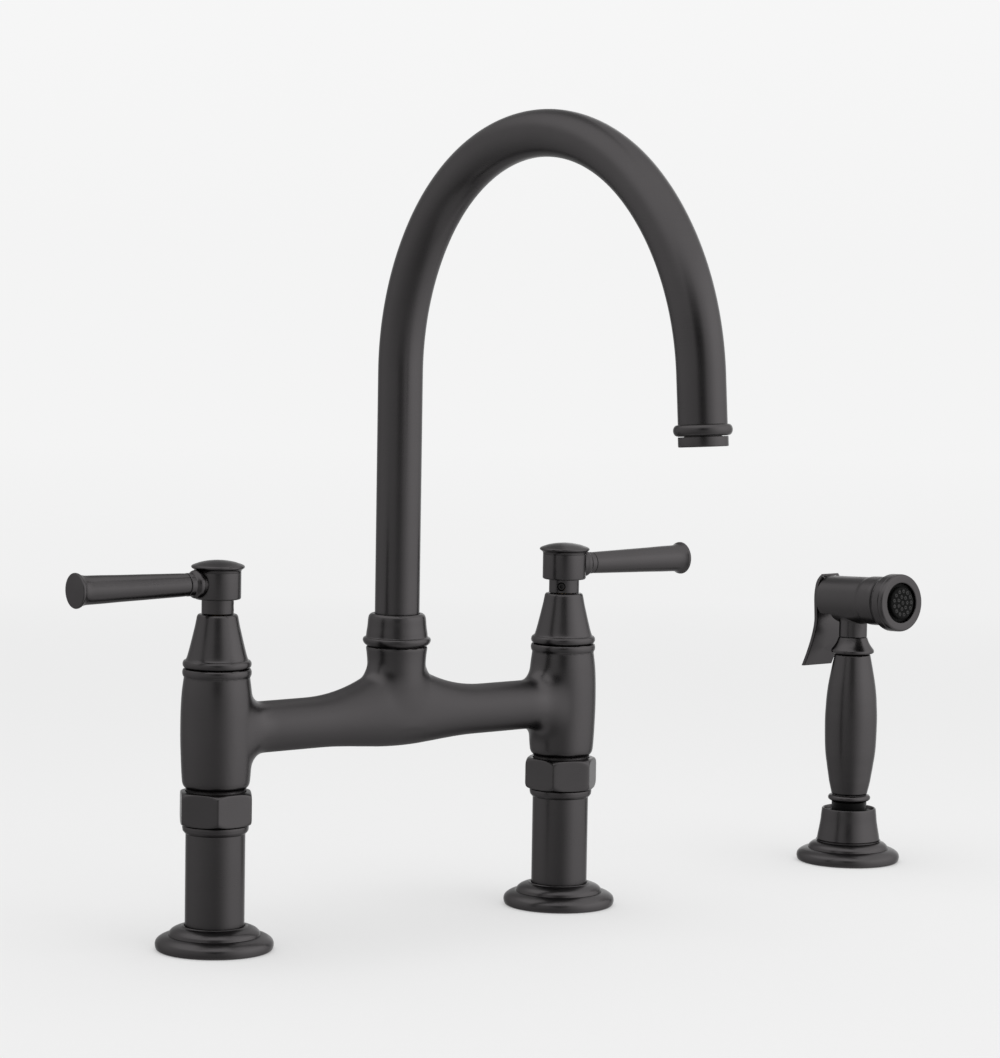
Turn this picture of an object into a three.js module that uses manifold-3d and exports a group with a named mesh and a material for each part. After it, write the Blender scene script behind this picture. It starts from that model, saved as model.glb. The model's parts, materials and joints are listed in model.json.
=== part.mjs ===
// Bridge kitchen faucet with a side sprayer, for deck mounting.
// Lengths are millimetres and angles are degrees. +Z is up, +X is the user's right, -Y faces the user.
// The origin lies on the deck, midway between the two inlet pillars.

import * as THREE from 'three';
import { mergeVertices } from 'three/addons/utils/BufferGeometryUtils.js';
import Module from 'manifold-3d';

const wasm = await Module();
wasm.setup();

// ---------------------------------------------------------------- driving dimensions

const GAP = 0.3;                      // between pieces that seat on or run in each other
const SIDES = 14;                     // facets round a turned piece that shows
const INNER_SIDES = 10;               // facets round a turned piece that is hidden

// Deck layout
const INLET_SPACING = 203.2;          // 8 inch centres
const SPRAYER_X = 311;
const SPRAYER_Y = 13;

// Flanges, one under each pillar and one under the sprayer's holder
const FLANGE_RADIUS = 27.2;
const FLANGE_TIER_RADIUS = 21.2;
const FLANGE_RIM_HEIGHT = 6.7;
const FLANGE_HEIGHT = 11.1;
const FLANGE_EDGE = 2.2;              // rounding of the rim's lower edge

// Inlet pillars and the unions above them
const PILLAR_RADIUS = 13.65;
const PILLAR_BORE_RADIUS = 8.5;
const PILLAR_HEIGHT = 53.6;
const PILLAR_COLLAR_RADIUS = 15.2;
const PILLAR_COLLAR_HEIGHT = 3.9;
const TAIL_NECK_RADIUS = 11.4;
const TAIL_LIP_RADIUS = 13.1;
const TAIL_LIP_THICKNESS = 3;
const NUT_ACROSS_FLATS = 32;
const NUT_HEIGHT = 15.1;
const NUT_FLOOR = 2.9;
const NUT_CHAMFER = 3.4;
const NUT_TURN = { left: 29.5, right: 9 };   // where a corner points, from the front
const UNION_WASHER_THICKNESS = 2;

// Bridge: two valve barrels, the arms between them and the spout's socket
const STUB_RADIUS = 13.7;
const STUB_GROOVE = 1.5;
const BARREL_HEIGHT = 54.7;
const BARREL_RADIUS = 16.45;
const BARREL_FOOT_RADIUS = 14.5;
const BARREL_NECK_RADIUS = 15.05;
const BARREL_BORE_RADIUS = 11.3;
const BARREL_THREAD_RADIUS = 13;
const BARREL_THREAD_DEPTH = 10;
const BEAD_RADIUS = 15.75;
const BEAD_HEIGHT = 3.6;
const ARM_RADIUS = 11.93;
const ARM_LEVEL = 26.1;               // arm axis above the barrel's foot
const ARM_BORE_RADIUS = 6;
const ARM_FILLET = 8;                 // where an arm meets a barrel
const ARM_BELLY = 2.3;
const ARM_BELLY_REACH = 45;
const ARM_CREST = 9.5;                // rise of the arms towards the socket
const ARM_CREST_REACH = 53;
const SOCKET_RADIUS = 13.7;
const SOCKET_LIP_RADIUS = 14.4;
const SOCKET_LIP_HEIGHT = 2;
const SOCKET_FLARE_HEIGHT = 9;
const SOCKET_HEIGHT = 33;             // above the arm axis
const SOCKET_THREAD_RADIUS = 12.7;
const SOCKET_THREAD_DEPTH = 9;
const SOCKET_BORE_RADIUS = 10.9;
const SOCKET_BORE_DEPTH = 41;

// Ceramic cartridges and their bonnets
const VALVE_SEAT_DEPTH = 36;          // below the barrel's top
const CARTRIDGE_SEAL_THICKNESS = 2.6;
const DISC_RADIUS = 9.2;
const DISC_THICKNESS = 4;
const CARTRIDGE_FLANGE_THICKNESS = 2.6;
const CARTRIDGE_HEAD_RADIUS = 9.2;
const CARTRIDGE_HEAD_HEIGHT = 12;
const SPINDLE_RADIUS = 4;
const SPINDLE_FOOT_THICKNESS = 4;
const SPLINE_TEETH = 10;
const SPLINE_DEPTH = 0.45;
const BONNET_HEIGHT = 24.5;
const BONNET_FOOT_RADIUS = 13.9;
const BONNET_TOP_RADIUS = 9.3;
const BONNET_TOP_EDGE = 0.8;
const BONNET_WAIST_RISE = 9;          // of the cone's curve above the bead
const BONNET_WAIST_OUT = 1.8;

// Handles
const NECK_RADIUS = 7.35;
const NECK_HEIGHT = 6.6;
const HUB_RADIUS = 10.6;
const HUB_HEIGHT = 12.1;
const CAP_RADIUS = 12.2;
const CAP_RIM_RISE = 2.1;
const CAP_HEIGHT = 5.3;
const CAP_SPIGOT_RADIUS = 6;
const CAP_SPIGOT_LENGTH = 1;
const SET_SCREW_RADIUS = 1.75;
const SET_SCREW_TURN = 50;            // from the front, towards the spout
const LEVER_LEVEL = 7.2;              // lever axis above the hub's underside
const LEVER_LENGTH = 75.8;            // from the handle's axis to its end
const LEVER_ROOT = 17.3;               // where the rod starts, from the handle's axis
const LEVER_ROOT_RADIUS = 5.15;
const LEVER_TIP_RADIUS = 6.55;
const LEVER_RIM_RADIUS = 7.95;
const LEVER_STUD_RADIUS = 3;
const LEVER_STUD_END = 4.6;
const FERRULE_RADIUS = 5.25;
const FERRULE_SEAT_RADIUS = 4.6;        // where it meets the hub
const FERRULE_BEAD_RADIUS = 6.5;
const FERRULE_BEAD_REACH = 12.2;        // widest place, from the handle's axis
const FERRULE_BEAD_SLOPE = 2;           // from there to its plain end

// Spout
const TUBE_RADIUS = 10.55;
const TUBE_WALL = 1.5;
const TUBE_SIDES = 14;
const TUBE_INNER_SIDES = 8;
const SPOUT_RISER = 113.8;            // straight tube above the collar
const SHOULDER_BEND_RADIUS = 115;
const CROWN_BEND_RADIUS = 103;
const RISING_SHOULDER_ANGLE = 35;
const CROWN_ANGLE = 94;
const FALLING_SHOULDER_ANGLE = 46.5;
const BEND_STEP = 9;                  // degrees of bend per facet
const SPOUT_TAIL = 24.2;              // straight tube after the bend
const COLLAR_HEIGHT = 15.3;
const COLLAR_FOOT_RADIUS = 14.6;
const COLLAR_TOP_RADIUS = 13.6;
const COLLAR_BEAD_RADIUS = 16.1;
const COLLAR_BEAD_HEIGHT = 3.4;
const COLLAR_SKIRT = 4;               // threaded length inside the socket
const SPIGOT_LENGTH = 25;
const SPIGOT_FLANGE_RADIUS = 12.1;
const SPIGOT_FLANGE_THICKNESS = 2.8;
const SPIGOT_SLEEVE = 6;
const O_RING_SECTION = 0.9;
const O_RING_LEVELS = [7, 17];        // below the spigot's flange
const BEARING_RING_THICKNESS = 1.3;

// Spout outlet, measured along its own axis from the tube's end
const OUTLET_RING_RADIUS = 12.65;
const OUTLET_RING_ABOVE = 3.3;
const OUTLET_RING_BELOW = 1.6;
const AERATOR_RADIUS = 10.75;
const AERATOR_LENGTH = 4.3;
const AERATOR_THREAD = 4.9;
const AERATOR_WALL = 1.1;
const SCREEN_THICKNESS = 3;
const SCREEN_RECESS = 0.8;
const SCREEN_HOLE_RADIUS = 0.85;
const AERATOR_WASHER_THICKNESS = 1.5;

// Sprayer holder
const CUP_FOOT_RADIUS = 16.6;
const CUP_LIP_RADIUS = 14.35;
const CUP_HEIGHT = 28.2;
const CUP_WALL = 1.3;
const CUP_FLOOR = 1.5;
const BUSH_WALL = 2.8;
const BUSH_SEAT = 9;                  // height of the shoulder that the wand rests on
const HOSE_HOLE_RADIUS = 7.3;

// Sprayer wand, heights above the deck when it rests in its holder
const CONNECTOR_RADIUS = 9.2;
const CONNECTOR_TAIL_RADIUS = 6.8;
const CONNECTOR_TAIL_LENGTH = 4;
const CONNECTOR_TOP = 31.7;
const CONNECTOR_NECK_RADIUS = 6.2;
const CONNECTOR_NECK_LENGTH = 14;
const WAND_BORE_RADIUS = 4.6;
const END_RING_RADIUS = 11.2;
const END_RING_HEIGHT = 3.5;
const HANDLE_LENGTH = 74.5;
const HANDLE_FOOT_RADIUS = 9.35;
const HANDLE_RADIUS = 13.8;
const HANDLE_BELLY_LEVEL = 38;        // widest place, above the handle's foot
const HANDLE_TOP_RADIUS = 9.35;
const HANDLE_FOOT_SWELL = 2.6;        // how far the handle has widened a third of the way to its belly
const HANDLE_TOP_SWELL = 2;           // and a third of the way down from its top
const WAND_COLLAR_RADIUS = 11.3;
const WAND_COLLAR_HEIGHT = 8.7;
const HEAD_NECK_RADIUS = 7.35;
const HEAD_SPIGOT_RADIUS = 6.2;
const HEAD_SPIGOT_LENGTH = 6;

// Sprayer head, measured from where its axis crosses the wand's, with -Y forward
const HEAD_LEVEL = 19.4;              // above the wand's collar
const HEAD_TILT = 3;                  // nose up
const HEAD_RADIUS = 11.9;
const HEAD_BACK = 17.3;
const HEAD_BACK_ROUND = 1.2;
const HEAD_BACK_LEAN = 6.5;           // the back leans in, so that the trigger can swing
const HEEL_LEVEL = -7;                // flat under the back of the barrel
const HEEL_START = 8;
const SLEEVE_START = 14;              // where the barrel steps up to its front sleeve
const SLEEVE_RADIUS = 12.7;
const SLEEVE_FLARE_START = 24.4;
const SLEEVE_END = 28;
const SLEEVE_END_RADIUS = 14.6;
const HEAD_THREAD_RADIUS = 11;
const HEAD_THREAD_END = 31.5;
const HEAD_BORE_RADIUS = 7;
const VALVE_WALL_FRONT = 8.5;
const VALVE_WALL_BACK = 7;
const VALVE_HOLE_RADIUS = 3;
const BEZEL_RADIUS = 15;
const BEZEL_FRONT = 36;
const BEZEL_GROOVE = 33.1;
const BEZEL_GROOVE_SIZE = 0.4;
const BEZEL_HOLE_RADIUS = 10.3;
const BEZEL_SHOULDER = 33.4;
const SPRAY_FACE_RADIUS = 8.2;
const SPRAY_FACE_FRONT = 36.3;
const SPRAY_RINGS = [[0, 1], [3.2, 7], [6.1, 13]];    // radius and count of nozzles
const SPRAY_NOZZLE_RADIUS = 0.65;
const SPRAY_NOZZLE_HEIGHT = 0.5;

// Trigger and the valve behind it
const TRIGGER_HALF_WIDTH = 10.1;
const TRIGGER_THICKNESS = 2.1;
const TRIGGER_INNER = 17.8;           // its inner face, behind the wand's axis
const TRIGGER_KINK = -9;              // where it starts to splay
const TRIGGER_END_LEVEL = -35.3;
const TRIGGER_TOP_LEVEL = 14.3;
const TRIGGER_CROWN = 17;             // height of the ellipse that rounds its top, cut off at the top level
const TRIGGER_TOP_EDGE = 3;           // rounding of the top, seen from the side
const TRIGGER_SPLAY = 10.5;           // how far its end stands back
const PIVOT_BACK = 18.6;
const PIVOT_LEVEL = 10.4;
const KNUCKLE_RADIUS = 2.4;
const KNUCKLE_HALF_WIDTH = 2.9;
const EAR_THICKNESS = 2.2;
const EAR_ROOT = 9;
const PIN_RADIUS = 1;
const POCKET_FRONT = 6.5;
const POCKET_BACK = 13;
const POCKET_RADIUS = 4.6;
const POCKET_WEB = 1.5;
const BUTTON_RADIUS = 2;
const VALVE_ROD_RADIUS = 1.6;
const VALVE_DISC_RADIUS = 4.6;
const VALVE_DISC_THICKNESS = 2;
const SPRING_TURNS = 3;
const SPRING_WIRE_RADIUS = 0.4;

// ---------------------------------------------------------------- levels above the deck

const COLLAR_TOP = PILLAR_HEIGHT + PILLAR_COLLAR_HEIGHT;
const NUT_BASE = COLLAR_TOP + GAP;
const NUT_TOP = NUT_BASE + NUT_HEIGHT;
const TAIL_LIP_BASE = NUT_BASE + NUT_FLOOR + GAP;
const TAIL_TOP = TAIL_LIP_BASE + TAIL_LIP_THICKNESS;
const UNION_WASHER_BASE = TAIL_TOP + GAP;
const STUB_BASE = UNION_WASHER_BASE + UNION_WASHER_THICKNESS + GAP;
const BARREL_BASE = NUT_TOP + STUB_GROOVE;
const BARREL_TOP = BARREL_BASE + BARREL_HEIGHT;
const ARM_AXIS = BARREL_BASE + ARM_LEVEL;
const BONNET_BASE = BARREL_TOP + GAP;
const BONNET_TOP = BONNET_BASE + BONNET_HEIGHT;
const NECK_BASE = BONNET_TOP + GAP;
const HUB_BASE = NECK_BASE + NECK_HEIGHT;
const HUB_TOP = HUB_BASE + HUB_HEIGHT;
const LEVER_AXIS = HUB_BASE + LEVER_LEVEL;
const SOCKET_TOP = ARM_AXIS + SOCKET_HEIGHT;
const COLLAR_BASE = SOCKET_TOP + GAP;
const SPOUT_COLLAR_TOP = COLLAR_BASE + COLLAR_HEIGHT;
const BEND_START = SPOUT_COLLAR_TOP + SPOUT_RISER;

// ---------------------------------------------------------------- solids

const rad = THREE.MathUtils.degToRad;

/** Welds a geometry's vertices, drops flat triangles and turns the faces outwards. */
function weld(geometry) {
  geometry.deleteAttribute('normal');
  geometry.deleteAttribute('uv');
  const merged = mergeVertices(geometry, 1e-4);
  const position = merged.attributes.position;
  const [a, b, c] = [new THREE.Vector3(), new THREE.Vector3(), new THREE.Vector3()];
  const index = [];
  let volume = 0;
  for (let i = 0; i < merged.index.count; i += 3) {
    const corners = [0, 1, 2].map((k) => merged.index.getX(i + k));
    if (new Set(corners).size < 3) continue;
    index.push(...corners);
    a.fromBufferAttribute(position, corners[0]);
    b.fromBufferAttribute(position, corners[1]);
    c.fromBufferAttribute(position, corners[2]);
    volume += a.dot(b.cross(c));
  }
  merged.setIndex(volume < 0 ? index.reverse() : index);
  return merged;
}

/** A turned solid round Z. The outline holds (radius, height) and closes on itself or on the axis. */
function turned(outline, sides = SIDES, arcSteps = 2) {
  const points = outline.getPoints(arcSteps);
  return weld(new THREE.LatheGeometry(points, sides).rotateX(Math.PI / 2));
}

/** A ring or tube with square ends. */
function ring(outer, inner, base, top, sides = INNER_SIDES) {
  const outline = new THREE.Path().moveTo(inner, base).lineTo(outer, base);
  return turned(outline.lineTo(outer, top).lineTo(inner, top).closePath(), sides);
}

/** A solid rod with square ends. */
function rod(radius, base, top, sides = INNER_SIDES) {
  const outline = new THREE.Path().moveTo(0, base).lineTo(radius, base);
  return turned(outline.lineTo(radius, top).lineTo(0, top), sides);
}

/** A flat outline in X and Y, thickened from base to top. */
function plate(shape, base, top, arcSteps = 3) {
  const options = { depth: top - base, bevelEnabled: false, curveSegments: arcSteps };
  return weld(new THREE.ExtrudeGeometry(shape, options).translate(0, 0, base));
}

function box(width, depth, height, x, y, z) {
  return weld(new THREE.BoxGeometry(width, depth, height).translate(x, y, z));
}

/** A skin over matching rings of points, closed at both ends. */
function loft(rings) {
  const count = rings[0].length;
  const vertices = rings.flat();
  const middle = (points) => points.reduce((sum, p) => sum.add(p), new THREE.Vector3())
    .divideScalar(count);
  vertices.push(middle(rings[0]), middle(rings.at(-1)));
  const index = [];
  for (let k = 0; k < count; k += 1) {
    const next = (k + 1) % count;
    for (let i = 0; i + 1 < rings.length; i += 1) {
      const [near, far] = [i * count, (i + 1) * count];
      index.push(near + k, near + next, far + next, near + k, far + next, far + k);
    }
    const last = (rings.length - 1) * count;
    index.push(vertices.length - 2, next, k, vertices.length - 1, last + k, last + next);
  }
  const geometry = new THREE.BufferGeometry().setFromPoints(vertices);
  geometry.setIndex(index);
  return weld(geometry);
}

const alongX = (geometry) => geometry.rotateY(Math.PI / 2);
const alongY = (geometry) => geometry.rotateX(-Math.PI / 2);
const at = (geometry, x, y, z) => geometry.translate(x, y, z);

function toManifold(geometry) {
  return new wasm.Manifold(new wasm.Mesh({
    numProp: 3,
    vertProperties: new Float32Array(geometry.attributes.position.array),
    triVerts: new Uint32Array(geometry.index.array),
  }));
}

function fromManifold(manifold) {
  const mesh = manifold.getMesh();
  const geometry = new THREE.BufferGeometry();
  geometry.setAttribute('position', new THREE.BufferAttribute(mesh.vertProperties, 3));
  geometry.setIndex(new THREE.BufferAttribute(mesh.triVerts, 1));
  return geometry;
}

function join(...pieces) {
  return fromManifold(pieces.map(toManifold).reduce((sum, piece) => sum.add(piece)));
}

function cut(piece, ...tools) {
  return fromManifold([piece, ...tools].map(toManifold).reduce((rest, tool) => rest.subtract(tool)));
}

function common(piece, other) {
  return fromManifold(toManifold(piece).intersect(toManifold(other)));
}

// ---------------------------------------------------------------- finishes and nodes

const FINISHES = {
  brushedBlack: { color: 0x3b393a, roughness: 0.42, metalness: 0.75 },
  brass: { color: 0xb08d4f, roughness: 0.4, metalness: 0.9 },
  steel: { color: 0xb9bcc0, roughness: 0.3, metalness: 1 },
  ceramic: { color: 0xe8e4da, roughness: 0.25, metalness: 0 },
  rubber: { color: 0x141414, roughness: 0.85, metalness: 0 },
  nylon: { color: 0x1c1c1d, roughness: 0.6, metalness: 0 },
};

function node(parent, name, geometry, finish) {
  const mesh = new THREE.Mesh(geometry, new THREE.MeshStandardMaterial(FINISHES[finish]));
  mesh.name = name;
  parent.add(mesh);
}

function subgroup(parent, x, y, z) {
  const group = new THREE.Group();
  group.position.set(x, y, z);
  parent.add(group);
  return group;
}

/** Adds a half-round bead to a turned outline, going up. */
function bead(outline, radius, base, height, bulge) {
  return outline.absellipse(radius, base + height / 2, bulge, height / 2, -Math.PI / 2, Math.PI / 2);
}

// ---------------------------------------------------------------- pillars and unions

/** The two-tier flange that stands on the deck, with a bore for what passes through it. */
function flange(boreRadius) {
  const outline = new THREE.Path().moveTo(boreRadius, 0).lineTo(FLANGE_RADIUS - FLANGE_EDGE, 0)
    .quadraticCurveTo(FLANGE_RADIUS, 0, FLANGE_RADIUS, FLANGE_EDGE)
    .quadraticCurveTo(FLANGE_RADIUS, FLANGE_RIM_HEIGHT - 0.3, FLANGE_TIER_RADIUS, FLANGE_RIM_HEIGHT)
    .quadraticCurveTo(FLANGE_TIER_RADIUS - 0.4, FLANGE_HEIGHT - 0.3, boreRadius + 0.6, FLANGE_HEIGHT)
    .lineTo(boreRadius, FLANGE_HEIGHT).closePath();
  return turned(outline);
}

function pillar() {
  const outline = new THREE.Path().moveTo(PILLAR_BORE_RADIUS, 0).lineTo(PILLAR_RADIUS, 0)
    .lineTo(PILLAR_RADIUS, PILLAR_HEIGHT)
    .quadraticCurveTo(PILLAR_COLLAR_RADIUS, PILLAR_HEIGHT, PILLAR_COLLAR_RADIUS, PILLAR_HEIGHT + 1.6)
    .lineTo(PILLAR_COLLAR_RADIUS, COLLAR_TOP).lineTo(TAIL_NECK_RADIUS, COLLAR_TOP)
    .lineTo(TAIL_NECK_RADIUS, TAIL_LIP_BASE).lineTo(TAIL_LIP_RADIUS, TAIL_LIP_BASE)
    .lineTo(TAIL_LIP_RADIUS, TAIL_TOP).lineTo(PILLAR_BORE_RADIUS, TAIL_TOP).closePath();
  return turned(outline);
}

/** A hexagon nut with rounded corners top and bottom, hollow from above down to its floor. */
function unionNut(turn) {
  const corner = NUT_ACROSS_FLATS / Math.sqrt(3);
  const mouth = STUB_RADIUS + GAP;
  const edge = (corner + mouth) / 2 - 1;
  const shape = new THREE.Shape();
  for (let k = 0; k < 6; k += 1) {
    const angle = rad(turn - 90 + 60 * k);
    shape[k ? 'lineTo' : 'moveTo'](corner * Math.cos(angle), corner * Math.sin(angle));
  }
  const rounding = new THREE.Path().moveTo(0, NUT_BASE).lineTo(edge, NUT_BASE)
    .quadraticCurveTo(corner, NUT_BASE + 0.8, corner, NUT_BASE + NUT_CHAMFER)
    .lineTo(corner, NUT_TOP - NUT_CHAMFER)
    .quadraticCurveTo(corner, NUT_TOP - 0.8, edge, NUT_TOP).lineTo(0, NUT_TOP);
  const floor = NUT_BASE + NUT_FLOOR;
  const hollow = new THREE.Path().moveTo(0, NUT_BASE - 1).lineTo(TAIL_NECK_RADIUS + GAP, NUT_BASE - 1)
    .lineTo(TAIL_NECK_RADIUS + GAP, floor).lineTo(mouth, floor).lineTo(mouth, NUT_TOP + 1)
    .lineTo(0, NUT_TOP + 1);
  const rounded = turned(rounding, 12).rotateZ(rad(turn));
  const body = common(plate(shape, NUT_BASE, NUT_TOP), rounded);
  return cut(body, turned(hollow));
}

// ---------------------------------------------------------------- bridge

/** One valve barrel's outside, standing on its threaded stub. */
function barrel() {
  const neckLevel = BARREL_TOP - BEAD_HEIGHT;
  const halfHeight = (neckLevel - BARREL_BASE) / 2;
  const belly = BARREL_BASE + halfHeight;
  const outline = new THREE.Path().moveTo(0, STUB_BASE).lineTo(STUB_RADIUS, STUB_BASE)
    .lineTo(STUB_RADIUS, BARREL_BASE).lineTo(BARREL_FOOT_RADIUS, BARREL_BASE)
    .quadraticCurveTo(BARREL_FOOT_RADIUS + 0.9, BARREL_BASE + 0.8, BARREL_RADIUS - 0.8, BARREL_BASE + 4.5)
    .quadraticCurveTo(BARREL_RADIUS, belly - 0.4 * halfHeight, BARREL_RADIUS, belly)
    .quadraticCurveTo(BARREL_RADIUS, neckLevel - 0.33 * halfHeight, BARREL_NECK_RADIUS, neckLevel);
  bead(outline, BARREL_NECK_RADIUS, neckLevel, BEAD_HEIGHT, BEAD_RADIUS - BARREL_NECK_RADIUS);
  return turned(outline.lineTo(0, BARREL_TOP));
}

/** The hollow inside one barrel: inlet, valve seat, chamber and bonnet thread. */
function barrelBore() {
  const seat = BARREL_TOP - VALVE_SEAT_DEPTH;
  const thread = BARREL_TOP - BARREL_THREAD_DEPTH;
  const outline = new THREE.Path().moveTo(0, STUB_BASE - 1).lineTo(PILLAR_BORE_RADIUS, STUB_BASE - 1)
    .lineTo(PILLAR_BORE_RADIUS, seat - 4).lineTo(DISC_RADIUS - 3.4, seat - 3)
    .lineTo(DISC_RADIUS - 3.4, seat).lineTo(BARREL_BORE_RADIUS, seat)
    .lineTo(BARREL_BORE_RADIUS, thread).lineTo(BARREL_THREAD_RADIUS, thread)
    .lineTo(BARREL_THREAD_RADIUS, BARREL_TOP + 1).lineTo(0, BARREL_TOP + 1);
  return turned(outline);
}

/** One ring of the arms' skin: an egg that rises to a crest and sinks to a belly at the socket. */
function armRing(x) {
  const reach = Math.abs(x);
  const toBarrel = Math.max(0, INLET_SPACING / 2 - BARREL_RADIUS - reach);
  const inset = Math.max(0, ARM_FILLET - toBarrel);
  const fillet = ARM_FILLET - Math.sqrt(ARM_FILLET ** 2 - inset ** 2);
  const bellyShare = reach < ARM_BELLY_REACH ? 0.5 + 0.5 * Math.cos(Math.PI * reach / ARM_BELLY_REACH) : 0;
  const crestRun = ARM_CREST_REACH - SOCKET_RADIUS;
  const crestShare = THREE.MathUtils.clamp((ARM_CREST_REACH - reach) / crestRun, 0, 1) ** 2.2;
  const halfWidth = ARM_RADIUS + ARM_BELLY * bellyShare + 0.28 * fillet;
  const up = ARM_RADIUS + fillet + ARM_CREST * crestShare;
  const down = ARM_RADIUS + fillet + ARM_BELLY * bellyShare;
  return Array.from({ length: SIDES }, (_, k) => {
    const angle = 2 * Math.PI * k / SIDES;
    const height = Math.sin(angle) * (Math.sin(angle) > 0 ? up : down);
    return new THREE.Vector3(x, Math.cos(angle) * halfWidth, ARM_AXIS + height);
  });
}

function socket() {
  const outline = new THREE.Path().moveTo(0, ARM_AXIS).lineTo(SOCKET_RADIUS, ARM_AXIS)
    .lineTo(SOCKET_RADIUS, SOCKET_TOP - SOCKET_FLARE_HEIGHT)
    .quadraticCurveTo(SOCKET_RADIUS + 0.1, SOCKET_TOP - SOCKET_FLARE_HEIGHT / 2, SOCKET_LIP_RADIUS,
      SOCKET_TOP - SOCKET_LIP_HEIGHT)
    .lineTo(SOCKET_LIP_RADIUS, SOCKET_TOP - 0.4).lineTo(SOCKET_LIP_RADIUS - 0.4, SOCKET_TOP)
    .lineTo(0, SOCKET_TOP);
  return turned(outline);
}

function socketBore() {
  const thread = SOCKET_TOP - SOCKET_THREAD_DEPTH;
  const outline = new THREE.Path().moveTo(0, SOCKET_TOP - SOCKET_BORE_DEPTH)
    .lineTo(SOCKET_BORE_RADIUS, SOCKET_TOP - SOCKET_BORE_DEPTH).lineTo(SOCKET_BORE_RADIUS, thread)
    .lineTo(SOCKET_THREAD_RADIUS, thread).lineTo(SOCKET_THREAD_RADIUS, SOCKET_TOP + 1)
    .lineTo(0, SOCKET_TOP + 1);
  return turned(outline);
}

function bridge() {
  const half = INLET_SPACING / 2;
  const barrelSide = half - BARREL_RADIUS;
  const buried = barrelSide + 10.5;
  const stations = [0, SOCKET_RADIUS, 20, 27, 36, ARM_CREST_REACH, barrelSide - ARM_FILLET,
    barrelSide - 0.5 * ARM_FILLET, barrelSide - 0.15 * ARM_FILLET, barrelSide, buried];
  const sections = [...stations.slice(1).reverse().map((x) => -x), ...stations];
  const arms = loft(sections.map(armRing));
  const passage = at(alongX(rod(ARM_BORE_RADIUS, -half, half)), 0, 0, ARM_AXIS);
  const body = join(arms, socket(), at(barrel(), -half, 0, 0), at(barrel(), half, 0, 0));
  const bores = [at(barrelBore(), -half, 0, 0), at(barrelBore(), half, 0, 0)];
  return cut(body, passage, socketBore(), ...bores);
}

// ---------------------------------------------------------------- cartridge and bonnet

/** Two ports through a disc, on opposite sides of its middle. */
function ports(base, top, turn) {
  return [0, 180].map((angle) => {
    const hole = rod(DISC_RADIUS * 0.28, base - 1, top + 1, 10);
    return at(hole, DISC_RADIUS * 0.5, 0, 0).rotateZ(rad(angle + turn));
  });
}

/** The levels inside a cartridge, from the valve seat up. */
function cartridgeLevels() {
  const seal = BARREL_TOP - VALVE_SEAT_DEPTH + GAP;
  const fixedDisc = seal + CARTRIDGE_SEAL_THICKNESS + GAP;
  const movingDisc = fixedDisc + DISC_THICKNESS + GAP;
  const foot = movingDisc + DISC_THICKNESS + GAP;
  const flangeBase = BARREL_TOP - BARREL_THREAD_DEPTH + GAP;
  const headBase = flangeBase + CARTRIDGE_FLANGE_THICKNESS;
  return { seal, fixedDisc, movingDisc, foot, flangeBase, headBase };
}

function cartridgeBody() {
  const { fixedDisc, foot, flangeBase, headBase } = cartridgeLevels();
  const cageRadius = BARREL_BORE_RADIUS - GAP;
  const chamber = foot + SPINDLE_FOOT_THICKNESS + GAP;
  const spindleBore = SPINDLE_RADIUS + GAP;
  const top = headBase + CARTRIDGE_HEAD_HEIGHT;
  const outline = new THREE.Path().moveTo(DISC_RADIUS + GAP, fixedDisc).lineTo(cageRadius, fixedDisc)
    .lineTo(cageRadius, flangeBase).lineTo(BARREL_THREAD_RADIUS - GAP, flangeBase)
    .lineTo(BARREL_THREAD_RADIUS - GAP, headBase).lineTo(CARTRIDGE_HEAD_RADIUS, headBase)
    .lineTo(CARTRIDGE_HEAD_RADIUS, top - 1).lineTo(CARTRIDGE_HEAD_RADIUS - 1, top)
    .lineTo(spindleBore, top).lineTo(spindleBore, chamber).lineTo(DISC_RADIUS + GAP, chamber)
    .closePath();
  const windowLevel = fixedDisc + DISC_THICKNESS + DISC_THICKNESS / 2;
  const windows = box(3 * cageRadius, DISC_RADIUS, DISC_THICKNESS, 0, 0, windowLevel);
  return cut(turned(outline, SIDES), windows);
}

/** The spindle: a foot that drives the moving disc, a round stem and a splined end. */
function spindle() {
  const { foot } = cartridgeLevels();
  const footTop = foot + SPINDLE_FOOT_THICKNESS;
  const top = spindleTop();
  const outline = new THREE.Path().moveTo(0, foot).lineTo(DISC_RADIUS - 0.3, foot)
    .lineTo(DISC_RADIUS - 0.3, footTop).lineTo(SPINDLE_RADIUS, footTop)
    .lineTo(SPINDLE_RADIUS, NECK_BASE).lineTo(0, NECK_BASE);
  const spline = new THREE.Shape();
  for (let k = 0; k < 2 * SPLINE_TEETH; k += 1) {
    const radius = SPINDLE_RADIUS - (k % 2) * SPLINE_DEPTH;
    const angle = Math.PI * k / SPLINE_TEETH;
    spline[k ? 'lineTo' : 'moveTo'](radius * Math.cos(angle), radius * Math.sin(angle));
  }
  return join(turned(outline, INNER_SIDES), plate(spline, NECK_BASE - 1, top));
}

const spindleTop = () => LEVER_AXIS - LEVER_STUD_RADIUS - 1.6;

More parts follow.
